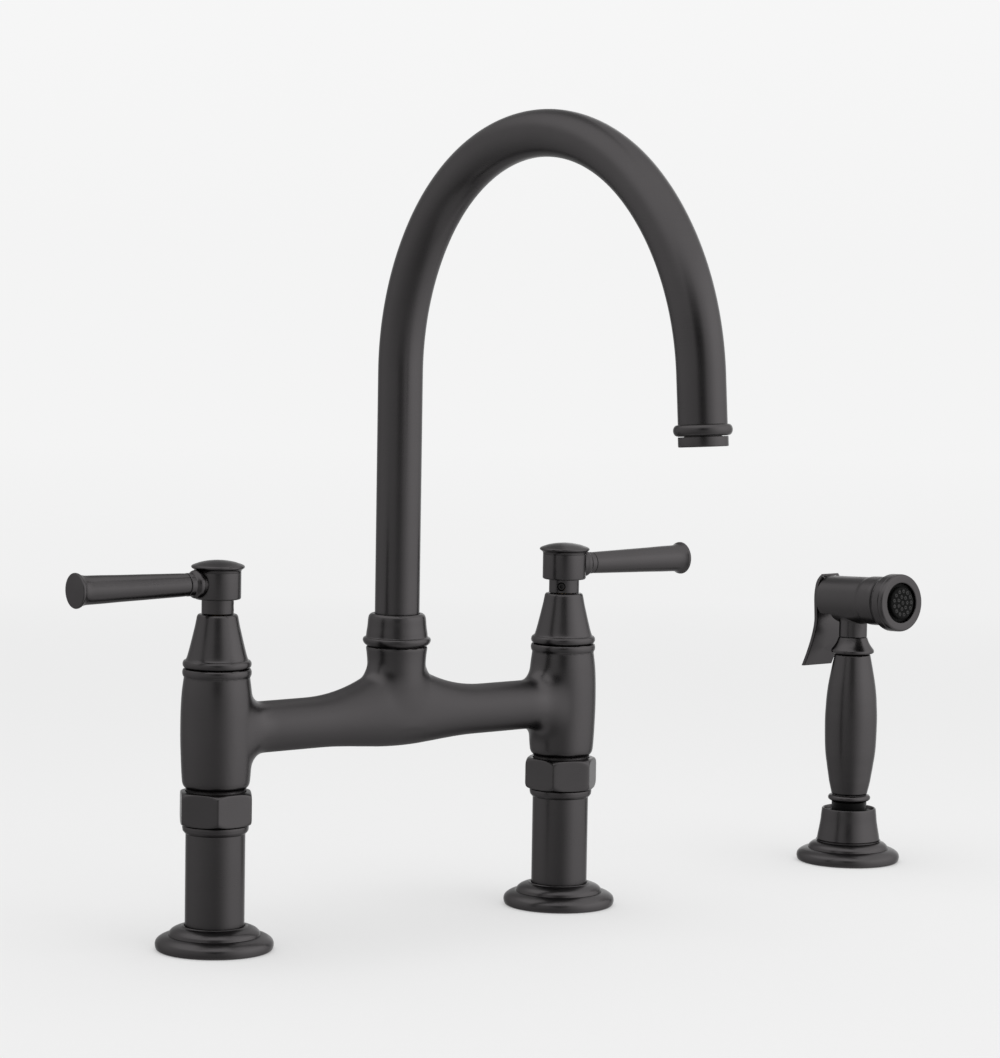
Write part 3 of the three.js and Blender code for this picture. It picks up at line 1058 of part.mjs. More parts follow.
/** The trigger: a strap that hangs behind the head and splays out at its end. */
function trigger() {
  const [inner, outer] = [TRIGGER_INNER, TRIGGER_INNER + TRIGGER_THICKNESS];
  const [endInner, endOuter] = [inner + TRIGGER_SPLAY, outer + TRIGGER_SPLAY];
  const top = TRIGGER_TOP_LEVEL;
  const bend = (TRIGGER_KINK - TRIGGER_END_LEVEL) * 0.3;
  const side = new THREE.Shape().moveTo(endInner, TRIGGER_END_LEVEL)
    .lineTo(endOuter, TRIGGER_END_LEVEL)
    .quadraticCurveTo(outer, TRIGGER_KINK - bend, outer, TRIGGER_KINK)
    .lineTo(outer, top - TRIGGER_TOP_EDGE).quadraticCurveTo(outer, top, inner, top)
    .lineTo(inner, TRIGGER_KINK)
    .quadraticCurveTo(inner, TRIGGER_KINK - bend, endInner, TRIGGER_END_LEVEL);
  const front = new THREE.Shape().moveTo(-TRIGGER_HALF_WIDTH, TRIGGER_END_LEVEL - 1)
    .lineTo(TRIGGER_HALF_WIDTH, TRIGGER_END_LEVEL - 1).lineTo(TRIGGER_HALF_WIDTH, 0)
    .absellipse(0, 0, TRIGGER_HALF_WIDTH, TRIGGER_CROWN, 0, Math.PI);
  const strap = common(
    sideways(plate(side, -TRIGGER_HALF_WIDTH - 1, TRIGGER_HALF_WIDTH + 1, 4)),
    plate(front, -endOuter - 1, -inner + 1, 5).rotateX(Math.PI / 2),
  );
  const slotTop = PIVOT_LEVEL + KNUCKLE_RADIUS + GAP / 2;
  const slotHeight = 4.5 * KNUCKLE_RADIUS;
  const slotMiddle = slotTop - slotHeight / 2;
  const slot = (x) => box(EAR_THICKNESS + 2 * GAP, 6 * TRIGGER_THICKNESS, slotHeight, x, inner, slotMiddle);
  const slotX = KNUCKLE_HALF_WIDTH + GAP + EAR_THICKNESS / 2;
  const knuckle = alongX(rod(KNUCKLE_RADIUS, -KNUCKLE_HALF_WIDTH, KNUCKLE_HALF_WIDTH, 16));
  const slotted = cut(strap, slot(-slotX), slot(slotX));
  return cut(join(slotted, at(knuckle, 0, PIVOT_BACK, PIVOT_LEVEL)), pinHole());
}

/** The plunger: a domed button, a collar for the spring, a rod and the valve disc. */
function plunger() {
  const tip = TRIGGER_INNER - GAP;
  const collarBack = POCKET_BACK - GAP;
  const discBack = -(VALVE_WALL_FRONT + GAP);
  const outline = new THREE.Path().moveTo(0, discBack - VALVE_DISC_THICKNESS)
    .lineTo(VALVE_DISC_RADIUS, discBack - VALVE_DISC_THICKNESS).lineTo(VALVE_DISC_RADIUS, discBack)
    .lineTo(VALVE_ROD_RADIUS, discBack).lineTo(VALVE_ROD_RADIUS, collarBack - 1)
    .lineTo(POCKET_RADIUS - GAP, collarBack - 1).lineTo(POCKET_RADIUS - GAP, collarBack)
    .lineTo(BUTTON_RADIUS, collarBack).lineTo(BUTTON_RADIUS, tip - 0.8)
    .quadraticCurveTo(BUTTON_RADIUS - 0.2, tip, 0, tip);
  return alongY(turned(outline, INNER_SIDES));
}

class Helix extends THREE.Curve {
  constructor(radius, base, top, turns) {
    super();
    Object.assign(this, { radius, base, top, turns });
  }

  getPoint(t, target = new THREE.Vector3()) {
    const angle = 2 * Math.PI * this.turns * t;
    const height = this.base + (this.top - this.base) * t;
    return target.set(this.radius * Math.cos(angle), this.radius * Math.sin(angle), height);
  }
}

function returnSpring() {
  const margin = GAP + SPRING_WIRE_RADIUS;
  const radius = (POCKET_RADIUS + VALVE_ROD_RADIUS) / 2;
  const curve = new Helix(radius, POCKET_FRONT + margin, POCKET_BACK - GAP - 1 - margin, SPRING_TURNS);
  const wire = new THREE.Shape(circlePoints(SPRING_WIRE_RADIUS, 5));
  const options = { steps: SPRING_TURNS * 10, extrudePath: curve, bevelEnabled: false };
  return alongY(weld(new THREE.ExtrudeGeometry(wire, options)));
}

function sprayer(parent) {
  const group = subgroup(parent, SPRAYER_X, SPRAYER_Y, 0);
  node(group, 'sprayer_flange', flange(CUP_FOOT_RADIUS - 0.5 + GAP), 'brushedBlack');
  node(group, 'holder_cup', holderCup(), 'brushedBlack');
  node(group, 'holder_bush', holderBush(), 'nylon');
  node(group, 'hose_connector', hoseConnector(), 'brushedBlack');
  node(group, 'wand_end_ring', endRing(), 'brushedBlack');
  node(group, 'wand_handle', wandHandle(), 'brushedBlack');
  node(group, 'wand_collar', wandCollar(), 'brushedBlack');

  const head = subgroup(group, 0, 0, WAND_COLLAR_TOP + HEAD_LEVEL);
  head.rotation.x = rad(-HEAD_TILT);
  const pinReach = KNUCKLE_HALF_WIDTH + GAP + EAR_THICKNESS;
  const pin = at(alongX(rod(PIN_RADIUS, -pinReach, pinReach, 12)), 0, PIVOT_BACK, PIVOT_LEVEL);
  node(head, 'sprayer_head', headBody(), 'brushedBlack');
  node(head, 'spray_bezel', bezel(), 'brushedBlack');
  node(head, 'spray_face', sprayFace(), 'rubber');
  node(head, 'trigger', trigger(), 'brushedBlack');
  node(head, 'trigger_pin', pin, 'steel');
  node(head, 'valve_plunger', plunger(), 'steel');
  node(head, 'return_spring', returnSpring(), 'steel');
}

// ---------------------------------------------------------------- the whole faucet

const group = new THREE.Group();
for (const [side, sign, turn] of [['left', -1, Math.PI], ['right', 1, 0]]) {
  pedestal(group, side, sign * INLET_SPACING / 2);
  handle(group, side, sign * INLET_SPACING / 2, turn);
}
node(group, 'bridge_body', bridge(), 'brushedBlack');
spout(group);
sprayer(group);

export default group;
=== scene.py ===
"""Bridge kitchen faucet with a side sprayer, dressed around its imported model.

Sizes are in millimetres until a mesh is made. +Z is up, +X is the user's right, and -Y is towards the user.
Every piece that shows is turned, swept or blended at full smoothness and stands for the CAD node of its name.
"""

import json
import math

import bmesh
import bpy
import numpy as np
from mathutils import Matrix, Vector


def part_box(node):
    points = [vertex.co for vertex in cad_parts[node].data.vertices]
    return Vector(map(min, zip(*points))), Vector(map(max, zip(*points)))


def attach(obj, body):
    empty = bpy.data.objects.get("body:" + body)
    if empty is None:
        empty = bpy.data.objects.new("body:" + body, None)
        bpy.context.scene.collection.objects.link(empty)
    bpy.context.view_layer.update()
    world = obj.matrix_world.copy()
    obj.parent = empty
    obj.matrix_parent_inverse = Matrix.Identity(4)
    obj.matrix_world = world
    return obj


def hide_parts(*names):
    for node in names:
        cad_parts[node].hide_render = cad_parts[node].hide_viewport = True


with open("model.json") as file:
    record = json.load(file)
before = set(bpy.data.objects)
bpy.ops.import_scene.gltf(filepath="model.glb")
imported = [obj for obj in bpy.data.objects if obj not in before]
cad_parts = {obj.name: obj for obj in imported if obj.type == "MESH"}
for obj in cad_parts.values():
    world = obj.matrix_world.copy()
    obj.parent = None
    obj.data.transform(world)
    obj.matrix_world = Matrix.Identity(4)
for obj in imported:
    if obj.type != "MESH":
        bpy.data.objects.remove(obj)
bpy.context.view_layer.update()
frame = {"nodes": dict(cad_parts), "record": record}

MM = 0.001
GAP = 0.3                     # between pieces that seat on each other
SEGMENTS = 96                 # round a turned piece
SMALL_SEGMENTS = 48           # round a small one
PIN_SEGMENTS = 32
ARC_STEPS = 5                 # per rounded corner of an outline
SHARP = 35                    # degrees between faces, from which an edge is shaded as sharp
TINY = 1e-6


# ---------------------------------------------------------------- places, from the frame

def centre_xy(node):
    low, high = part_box(node)
    return (low.x + high.x) / 2 / MM, (low.y + high.y) / 2 / MM


def base_of(node):
    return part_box(node)[0].z / MM


def top_of(node):
    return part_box(node)[1].z / MM


INLET_X = centre_xy("right_flange")[0]
SPRAYER_X, SPRAYER_Y = centre_xy("sprayer_flange")


# ---------------------------------------------------------------- outlines

def rounded(corners):
    """An outline through (radius, height) or (radius, height, fillet) corners, with the fillets as arcs."""
    points = []
    for i, corner in enumerate(corners):
        here = np.array(corner[:2], float)
        if len(corner) < 3:
            points.append(here)
            continue
        before = np.array(corners[i - 1][:2], float) - here
        after = np.array(corners[(i + 1) % len(corners)][:2], float) - here
        reach = min(np.linalg.norm(before), np.linalg.norm(after)) * 0.499
        before /= np.linalg.norm(before)
        after /= np.linalg.norm(after)
        half = math.acos(np.clip(before @ after, -1, 1)) / 2
        if half > math.radians(89):
            points.append(here)
            continue
        tangent = min(corner[2] / math.tan(half), reach)
        radius = tangent * math.tan(half)
        middle = here + (before + after) / np.linalg.norm(before + after) * radius / math.sin(half)
        start, end = here + before * tangent - middle, here + after * tangent - middle
        turn = math.atan2(start[0] * end[1] - start[1] * end[0], start @ end)
        for k in range(ARC_STEPS + 1):
            c, s = math.cos(turn * k / ARC_STEPS), math.sin(turn * k / ARC_STEPS)
            points.append(middle + (start[0] * c - start[1] * s, start[0] * s + start[1] * c))
    return [tuple(p) for p in points]


def curve(*points, steps=5):
    """A smooth run through the given (radius, height) points, ends included."""
    p = np.array([points[0], *points, points[-1]], float)
    run = []
    for i in range(1, len(p) - 2):
        a, b, c, d = p[i - 1:i + 3]
        for t in np.arange(steps) / steps:
            run.append(0.5 * (2 * b + (c - a) * t + (2 * a - 5 * b + 4 * c - d) * t ** 2
                              + (3 * b - a - 3 * c + d) * t ** 3))
    return [tuple(q) for q in run] + [tuple(p[-1])]


def half_round(radius, low, high, bulge, steps=10):
    """A bead from low to high that stands out from radius by bulge."""
    middle, rise = (low + high) / 2, (high - low) / 2
    angles = np.linspace(-math.pi / 2, math.pi / 2, steps + 1)
    return [(radius + bulge * math.cos(a), middle + rise * math.sin(a)) for a in angles]


# ---------------------------------------------------------------- meshes

def upright(x, y, z=0.0):
    return Matrix.Translation(Vector((x, y, z)) * MM)


def sideways(x, y, z, sign):
    """Turns an outline's axis to +X or -X."""
    return upright(x, y, z) @ Matrix.Rotation(sign * math.pi / 2, 4, "Y")


def link(name, data):
    """Adds an object with this data to the scene."""
    thing = bpy.data.objects.new(name, data)
    bpy.context.scene.collection.objects.link(thing)
    return thing


def shade(mesh, sharp=SHARP):
    mesh.shade_smooth()
    mesh.set_sharp_from_angle(angle=math.radians(sharp))


def finish_mesh(name, vertices, faces, place=None, sharp=SHARP):
    """Makes an object of millimetre vertices, with outward normals."""
    mesh = bpy.data.meshes.new(name)
    mesh.from_pydata([tuple(v) for v in np.asarray(vertices, float) * MM], [], faces)
    work = bmesh.new()
    work.from_mesh(mesh)
    bmesh.ops.remove_doubles(work, verts=work.verts, dist=1e-7)
    bmesh.ops.recalc_face_normals(work, faces=work.faces)
    work.to_mesh(mesh)
    work.free()
    shade(mesh, sharp)
    piece = link(name, mesh)
    if place is not None:
        piece.matrix_world = place
    bpy.context.view_layer.update()
    return piece


def band(lower, upper):
    """The faces between two rings of vertex numbers. A ring on the axis has one number throughout."""
    faces = []
    for k in range(len(lower)):
        n = (k + 1) % len(lower)
        face = list(dict.fromkeys((lower[k], lower[n], upper[n], upper[k])))
        if len(face) > 2:
            faces.append(face)
    return faces


def turned(name, outline, place=None, segments=SEGMENTS, shift=None, sharp=SHARP):
    """A solid turned round its own Z. The outline closes on itself, or starts and ends on the axis."""
    angles = np.linspace(0, 2 * math.pi, segments, endpoint=False)
    vertices, rings = [], []
    for radius, height in outline:
        if radius < TINY:
            rings.append([len(vertices)] * segments)
            vertices.append((0, 0, height))
            continue
        rings.append(list(range(len(vertices), len(vertices) + segments)))
        vertices += [(radius * math.cos(a), radius * math.sin(a), height) for a in angles]
    if shift is not None:
        vertices = [shift(*v) for v in vertices]
    after = rings[1:] if outline[0][0] < TINY else rings[1:] + rings[:1]
    faces = [face for lower, upper in zip(rings, after) for face in band(lower, upper)]
    return finish_mesh(name, vertices, faces, place, sharp)


def rod(name, radius, low, high, place=None, segments=SEGMENTS):
    return turned(name, [(0, low), (radius, low), (radius, high), (0, high)], place, segments)


def block(name, half_width, half_reach, height, place):
    """A box that is centred on its own origin."""
    corners = [(-half_width, -half_reach), (half_width, -half_reach), (half_width, half_reach),
               (-half_width, half_reach)]
    vertices = [(x, y, z) for z in (-height / 2, height / 2) for x, y in corners]
    faces = [[0, 1, 2, 3], [4, 5, 6, 7]] + band([0, 1, 2, 3], [4, 5, 6, 7])
    return finish_mesh(name, vertices, faces, place)


def apply_modifiers(piece):
    bpy.context.view_layer.update()
    graph = bpy.context.evaluated_depsgraph_get()
    mesh = bpy.data.meshes.new_from_object(piece.evaluated_get(graph))
    piece.modifiers.clear()
    piece.data = mesh


def combine(piece, tool, operation="DIFFERENCE"):
    """Cuts a tool out of a piece, or joins it on, and removes the tool."""
    change = piece.modifiers.new("change", "BOOLEAN")
    change.object = tool
    change.operation = operation
    change.solver = "EXACT"
    apply_modifiers(piece)
    bpy.data.objects.remove(tool)
    shade(piece.data)


def join_shells(piece, others):
    """Adds other closed shells to a piece's mesh."""
    work = bmesh.new()
    work.from_mesh(piece.data)
    for other in others:
        mesh = other.data.copy()
        mesh.transform(other.matrix_world)
        work.from_mesh(mesh)
        bpy.data.objects.remove(other)
    work.to_mesh(piece.data)
    work.free()
    shade(piece.data)


def vertex_places(piece):
    """A piece's own vertices in millimetres."""
    return np.array([v.co for v in piece.data.vertices]) / MM


def store_share(piece, name, share):
    """Keeps a number from 0 to 1 at each vertex, for a material to read."""
    attribute = piece.data.attributes.new(name, "FLOAT", "POINT")
    attribute.data.foreach_set("value", np.clip(share, 0, 1).astype(np.float32))


# ---------------------------------------------------------------- blended castings

SETTLE_ROUNDS = 4
CASTING_SHARP = 40


def outline_distance(points, radius, height):
    """Signed distance from points at (radius, height) to a closed outline, negative inside."""
    best = np.full(radius.shape, 1e9)
    inside = np.zeros(radius.shape, bool)
    for (r0, z0), (r1, z1) in zip(points, points[1:] + points[:1]):
        dr, dz = r1 - r0, z1 - z0
        length = dr * dr + dz * dz
        if length < 1e-12:
            continue
        t = np.clip(((radius - r0) * dr + (height - z0) * dz) / length, 0, 1)
        best = np.minimum(best, (radius - r0 - t * dr) ** 2 + (height - z0 - t * dz) ** 2)
        if abs(dz) > 1e-12:
            crosses = (z0 > height) != (z1 > height)
            inside ^= crosses & (radius < r0 + dr * (height - z0) / dz)
    return np.where(inside, -1, 1) * np.sqrt(best)


def shrunk(outline, edge):
    """Draws a turned outline in by edge, so that rounding it by edge brings it back to size."""
    points = np.array(outline, float)
    after = np.roll(points, -1, 0) - points
    before = points - np.roll(points, 1, 0)
    normals = []
    for d in (before, after):
        length = np.maximum(np.linalg.norm(d, axis=1, keepdims=True), 1e-9)
        normals.append(np.stack([d[:, 1], -d[:, 0]], 1) / length)
    total = normals[0] + normals[1]
    scale = edge / np.maximum(1 + (normals[0] * normals[1]).sum(1), 0.4)
    moved = points - total * scale[:, None]
    moved[points[:, 0] < 1e-9, 0] = 0
    return [tuple(p) for p in moved]


def round_union(a, b, fillet):
    """Joins two distances with an inner fillet, one size or one for each place."""
    u, v = np.maximum(fillet - a, 0), np.maximum(fillet - b, 0)
    return np.maximum(fillet, np.minimum(a, b)) - np.hypot(u, v)


def crossing(x0, y0, x1, y1, least=0.02):
    """How squarely an upright cylinder's wall crosses an arm along X there, from nearly 0 to 1."""
    along = y0 * y1 / np.maximum(np.hypot(x0, y0) * np.hypot(x1, y1), TINY)
    return np.sqrt(np.clip(1 - along ** 2, least, 1))


def casting(name, field, low, high, step, place=None):
    """A closed mesh of the surface where field(x, y, z) is zero, found on a grid and then settled."""
    axes = [np.arange(a, b + step, step) for a, b in zip(low, high)]
    grid = np.meshgrid(*axes, indexing="ij")
    value = field(*grid)
    points, number = surface_points(grid, value)
    for _ in range(SETTLE_ROUNDS):
        points -= settle_step(field, points, step)
    return finish_mesh(name, points, surface_faces(value < 0, number), place, CASTING_SHARP)


def surface_points(grid, value):
    """One point in each cell that the surface crosses, amid its edges' crossings, and the cells' numbers."""
    shape = [n - 1 for n in value.shape]
    corner = {(i, j, k): (slice(i, i + shape[0]), slice(j, j + shape[1]), slice(k, k + shape[2]))
              for i in (0, 1) for j in (0, 1) for k in (0, 1)}
    count = sum((value[cells] < 0).astype(np.int8) for cells in corner.values())
    active = (count > 0) & (count < 8)
    number = np.full(shape, -1)
    number[active] = np.arange(active.sum())
    total, hits = np.zeros((active.sum(), 3)), np.zeros(active.sum())
    for start, a in corner.items():
        for axis in range(3):
            if start[axis]:
                continue
            b = corner[tuple(c + (n == axis) for n, c in enumerate(start))]
            fa, fb = value[a][active], value[b][active]
            crosses = (fa < 0) != (fb < 0)
            t = np.where(crosses, fa / np.where(crosses, fa - fb, 1), 0)
            place_a = np.stack([g[a][active] for g in grid], 1)
            place_b = np.stack([g[b][active] for g in grid], 1)
            total += (place_a + (place_b - place_a) * t[:, None]) * crosses[:, None]
            hits += crosses
    return total / hits[:, None], number


def surface_faces(inside, number):
    """A face across each grid edge that the surface cuts, between the four cells round that edge."""
    faces = []
    for axis in range(3):
        u, v = (axis + 1) % 3, (axis + 2) % 3
        here = [slice(None)] * 3
        there = [slice(None)] * 3
        here[axis], there[axis] = slice(0, -1), slice(1, None)
        changes = inside[tuple(here)] != inside[tuple(there)]
        cells = np.argwhere(changes)
        starts_inside = inside[tuple(here)][changes]
        ring = []
        for du, dv in ((-1, -1), (0, -1), (0, 0), (-1, 0)):
            cell = cells.copy()
            cell[:, u] += du
            cell[:, v] += dv
            ring.append(number[cell[:, 0], cell[:, 1], cell[:, 2]])
        quads = np.stack(ring, 1)
        quads[~starts_inside] = quads[~starts_inside][:, ::-1]
        faces += quads.tolist()
    return faces


def settle_step(field, points, step):
    """How far each point lies off the surface, as a move back to it."""
    here = field(*points.T)
    reach = step * 0.1
    slope = np.stack([(field(*(points + reach * e).T) - field(*(points - reach * e).T)) / (2 * reach)
                      for e in np.eye(3)], 1)
    steep = np.maximum((slope ** 2).sum(1), 0.25)
    move = (here / steep)[:, None] * slope
    length = np.maximum(np.linalg.norm(move, axis=1, keepdims=True), 1e-9)
    return move * np.minimum(1, 0.5 * step / length)


def soften(piece, share_of, rounds=14):
    """Evens out the curvature of a mesh where share_of(x, y, z) is above 0."""
    places = vertex_places(piece)
    edges = np.array([e.vertices for e in piece.data.edges])
    count = np.bincount(edges.ravel(), minlength=len(places))[:, None]
    share = 0.5 * share_of(*places.T)[:, None]
    for _ in range(rounds):
        total = np.zeros_like(places)
        np.add.at(total, edges[:, 0], places[edges[:, 1]])
        np.add.at(total, edges[:, 1], places[edges[:, 0]])
        places += share * (total / count - places)
    piece.data.vertices.foreach_set("co", (places * MM).astype(np.float32).ravel())
    piece.data.update()


# ---------------------------------------------------------------- materials

class Shading:
    """The nodes of a material or a world. An input takes a value or the output of another node."""

    def __init__(self, owner):
        owner.use_nodes = True
        self.nodes, self.links = owner.node_tree.nodes, owner.node_tree.links

    def feed(self, node, inputs):
        for name, value in inputs.items():
            if isinstance(value, bpy.types.NodeSocket):
                self.links.new(value, node.inputs[name])
            else:
                node.inputs[name].default_value = value

    def add(self, kind, inputs=None, **settings):
        """Adds a node and returns its outputs."""
        node = self.nodes.new(f"ShaderNode{kind}")
        for name, value in settings.items():
            setattr(node, name, value)
        self.feed(node, inputs or {})
        return node.outputs

    def principled(self, inputs):
        self.feed(self.nodes["Principled BSDF"], inputs)

    def replace_surface(self, output):
        self.nodes.remove(self.nodes["Principled BSDF"])
        self.feed(self.nodes["Material Output"], {"Surface": output})

    def noise(self, scale, detail=5, stretch=(1, 1, 1)):
        """Noise on the piece's own metres, drawn out along an axis where its factor is small."""
        where = self.add("Mapping", {"Vector": self.add("TexCoord")["Object"], "Scale": stretch})["Vector"]
        return self.add("TexNoise", {"Vector": where, "Scale": scale, "Detail": detail})["Fac"]

    def ramp(self, factor, low, high, start=0.3, end=0.7, shape="LINEAR"):
        """Runs from low to high as the factor runs from start to end."""
        limits = {"From Min": start, "From Max": end, "To Min": low, "To Max": high}
        return self.add("MapRange", {"Value": factor, **limits}, interpolation_type=shape)["Result"]

    def smooth(self, factor, low, high, start, end):
        return self.ramp(factor, low, high, start, end, "SMOOTHSTEP")

    def math(self, operation, *values):
        return self.add("Math", dict(enumerate(values)), operation=operation)[0]

    def mix(self, factor, a, b, kind="FLOAT"):
        return self.add("Mix", {"Factor": factor, "A": a, "B": b}, data_type=kind)["Result"]

    def tint(self, factor, dark, light):
        return self.mix(factor, (*dark, 1), (*light, 1), "RGBA")

    def bump(self, height, depth, strength):
        return self.add("Bump", {"Height": height, "Distance": depth * MM, "Strength": strength})["Normal"]


def new_material(name):
    material = bpy.data.materials.new(name)
    return material, Shading(material)


METAL_DARK = (0.046, 0.0436, 0.0446)
METAL_LIGHT = (0.054, 0.0512, 0.0523)
METAL_ROUGHNESS = (0.27, 0.34)
EDGE_TINT = (0.52, 0.52, 0.52, 1)
CLOUDS = 38                   # per metre, the slow changes of tone
BRUSH_LINES = 2600            # per metre of the axis that the lines lie across
BRUSH_DRAW = 0.03             # how much slower the noise changes along the lines
BRUSH_DEPTH = 0.012
ARM_ROUGHER = 0.16            # the bridge arms' satin against the turned faces


def brush_lines(shading, across):
    """Fine lines that lie across the given axis."""
    stretch = [1 if axis == across else BRUSH_DRAW for axis in "XYZ"]
    return shading.noise(BRUSH_LINES, 3, stretch)


def blacken(shading, lines):
    """Makes the surface blackened metal with these brushing lines, and returns its roughness."""
    cloud = shading.ramp(shading.noise(CLOUDS), 0, 0.5)
    tone = shading.math("MULTIPLY_ADD", lines, 0.5, cloud)
    roughness = shading.ramp(tone, *METAL_ROUGHNESS, 0.2, 0.8)
    shading.principled({
        "Metallic": 1, "Specular Tint": EDGE_TINT, "Roughness": roughness,
        "Base Color": shading.tint(tone, METAL_DARK, METAL_LIGHT),
        "Normal": shading.bump(lines, BRUSH_DEPTH, 0.5)})
    return roughness


def brushed_metal(name, across):
    """The turned faces: the lines spread their highlights across them."""
    material, shading = new_material(name)
    blacken(shading, brush_lines(shading, across))
    shading.principled({"Anisotropic": 0.5, "Anisotropic Rotation": 0.25})
    return material


def bridge_material():
    """Brushing across the arms between the barrels, and round the barrels and the socket."""
    material, shading = new_material("brushed_black_casting")
    on_arm = shading.add("Attribute", attribute_name="arm_share")["Fac"]
    lines = shading.mix(on_arm, brush_lines(shading, "Z"), brush_lines(shading, "X"))
    roughness = blacken(shading, lines)
    shading.principled({"Roughness": shading.math("MULTIPLY_ADD", on_arm, ARM_ROUGHER, roughness)})
    return material


def face_material():
    """Black moulded rubber, with a painted highlight: paler where the nozzles' rims stand out."""
    material, shading = new_material("nozzle_face")
    # Painted highlight: the base colour turns paler by how far each nozzle's rim stands out of the face.
    tip = shading.add("Attribute", attribute_name="nozzle_painted_highlight")["Fac"]
    grain = shading.noise(1800)
    shading.principled({
        "Base Color": shading.tint(tip, (0.003, 0.003, 0.003), (0.085, 0.084, 0.084)),
        "Roughness": shading.ramp(grain, 0.55, 0.7), "Specular IOR Level": 0.06,
        "Normal": shading.bump(grain, 0.01, 0.5)})
    return material


def simple(name, dark, light, roughness, metallic, grain, depth=0.01, specular=0.5):
    """A material with a soft grain in its colour, roughness and surface."""
    material, shading = new_material(name)
    noise = shading.noise(grain)
    shading.principled({
        "Metallic": metallic, "Specular IOR Level": specular, "Base Color": shading.tint(noise, dark, light),
        "Roughness": shading.ramp(noise, *roughness), "Normal": shading.bump(noise, depth, 0.6)})
    return material


METAL = {axis: brushed_metal(f"brushed_black_{axis.lower()}", axis) for axis in "YZ"}
BRASS = simple("machined_brass", (0.50, 0.34, 0.14), (0.62, 0.44, 0.20), (0.28, 0.42), 1, 900)
STEEL = simple("plain_steel", (0.42, 0.42, 0.43), (0.55, 0.55, 0.56), (0.25, 0.38), 1, 1200)
CERAMIC = simple("alumina_ceramic", (0.78, 0.75, 0.68), (0.84, 0.82, 0.77), (0.15, 0.24), 0, 400, 0.002)
RUBBER = simple("black_rubber", (0.013, 0.013, 0.013), (0.024, 0.024, 0.025), (0.6, 0.8), 0, 2200)
FACE_RUBBER = simple("nozzle_rubber", (0.010, 0.010, 0.010), (0.020, 0.020, 0.021), (0.34, 0.5), 0, 1800)
NYLON = simple("black_nylon", (0.008, 0.008, 0.009), (0.014, 0.014, 0.015), (0.5, 0.65), 0, 1500, 0.01, 0.2)
BLACK_STEEL = simple("blackened_steel", (0.022, 0.021, 0.021), (0.034, 0.033, 0.033), (0.4, 0.5), 1, 1200)
# Painted shade: a black far darker than the brushed black, for the hose connector that sits in shadow inside
# the cup.
PAINTED_SHADE_BLACK = simple("painted_shade_black", (0.005, 0.005, 0.005), (0.009, 0.009, 0.009), (0.5, 0.62), 1, 1200)
SLOT_MATERIAL = {"brass": BRASS, "steel": STEEL, "ceramic": CERAMIC, "rubber": RUBBER, "nylon": NYLON,
                 "brushed_black": METAL["Z"], "nozzle_rubber": FACE_RUBBER}
BODY_OF_NODE = {n: body for body, members in frame["record"]["behaviour"]["bodies"].items() for n in members}


def dress(piece, node, material=METAL["Z"]):
    """Gives a piece its material and its body, and hides the CAD node that it stands for."""
    piece.data.materials.clear()
    piece.data.materials.append(material)
    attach(piece, BODY_OF_NODE[node])
    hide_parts(node)


def dress_turned(node, outline, place, material=METAL["Z"], segments=SEGMENTS):
    dress(turned(f"{node}_turned", outline, place, segments), node, material)


def dress_cad_nodes():
    """The inner pieces that keep their CAD shape get the material of their slot."""
    for part in frame["record"]["subparts"]:
        mesh = frame["nodes"][part["node"]].data
        mesh.materials.clear()
        mesh.materials.append(SLOT_MATERIAL[part["material_slot"]])


# ---------------------------------------------------------------- flanges and pillars

FLANGE_RADIUS = 27.2
TIER_RADIUS = 21.0
FLANGE_TOP = top_of("left_flange")
PILLAR_RADIUS = 13.65
PILLAR_BORE = 8.5
PILLAR_RING_RADIUS = 15.2
NECK_IN_NUT = 11.4
TAIL_LIP = 13.1
TAIL_LIP_HEIGHT = 3


def flange(node, x, y, bore):
    """Two soft tiers with a fine crease between them, lying on the deck."""
    outline = [(bore, 0)]
    outline += curve((26.2, 0), (26.85, 0.7), (FLANGE_RADIUS, 2.6), (26.6, 4.4), (24.6, 5.9), (22.2, 6.7),
                     (TIER_RADIUS + 0.1, 6.75), steps=6)
    outline += curve((TIER_RADIUS, 7.05), (20.6, 8.2), (19.3, 9.4), (17.2, 10.3), (15.2, 10.75),
                     (bore + 0.7, FLANGE_TOP), steps=6)
    dress_turned(node, [*outline, (bore, FLANGE_TOP)], upright(x, y))


def pillar(side, x):
    node = f"{side}_pillar"
    top = top_of(node)
    ring = base_of(f"{side}_union_nut") - GAP
    lip = top - TAIL_LIP_HEIGHT
    outline = rounded([
        (PILLAR_BORE, 0), (PILLAR_RADIUS, 0, 0.2), (PILLAR_RADIUS, ring - 4.0, 0.3), (14.3, ring - 3.4, 0.5),
        (15.0, ring - 2.5, 0.6), (PILLAR_RING_RADIUS, ring - 1.2, 0.6), (PILLAR_RING_RADIUS, ring, 0.5),
        (NECK_IN_NUT, ring), (NECK_IN_NUT, lip), (TAIL_LIP, lip), (TAIL_LIP, top), (PILLAR_BORE, top)])
    dress_turned(node, outline, upright(x, 0))


NUT_FLAT = 16.0               # from the middle to a flat
NUT_CORNER = 2 * NUT_FLAT / math.sqrt(3) + 0.25
NUT_END_RADIUS = 15.4
NUT_CORNER_BLEND = 0.35
NUT_CROWN = 3.6               # height over which the corners are turned away
NUT_MOUTH = 14.0
NUT_FLOOR = 2.9
NUT_SEGMENTS = 240
NUT_END_RINGS, NUT_END_SPREAD = 13, 1.6        # rings near an end, closer together towards it
NUT_END_HEIGHT, NUT_MIDDLE = 4.2, 7.5          # how far from the end they and one more ring reach
NUT_SHARP = 50
NUT_TURN = {"left": 29.5, "right": 9.0}


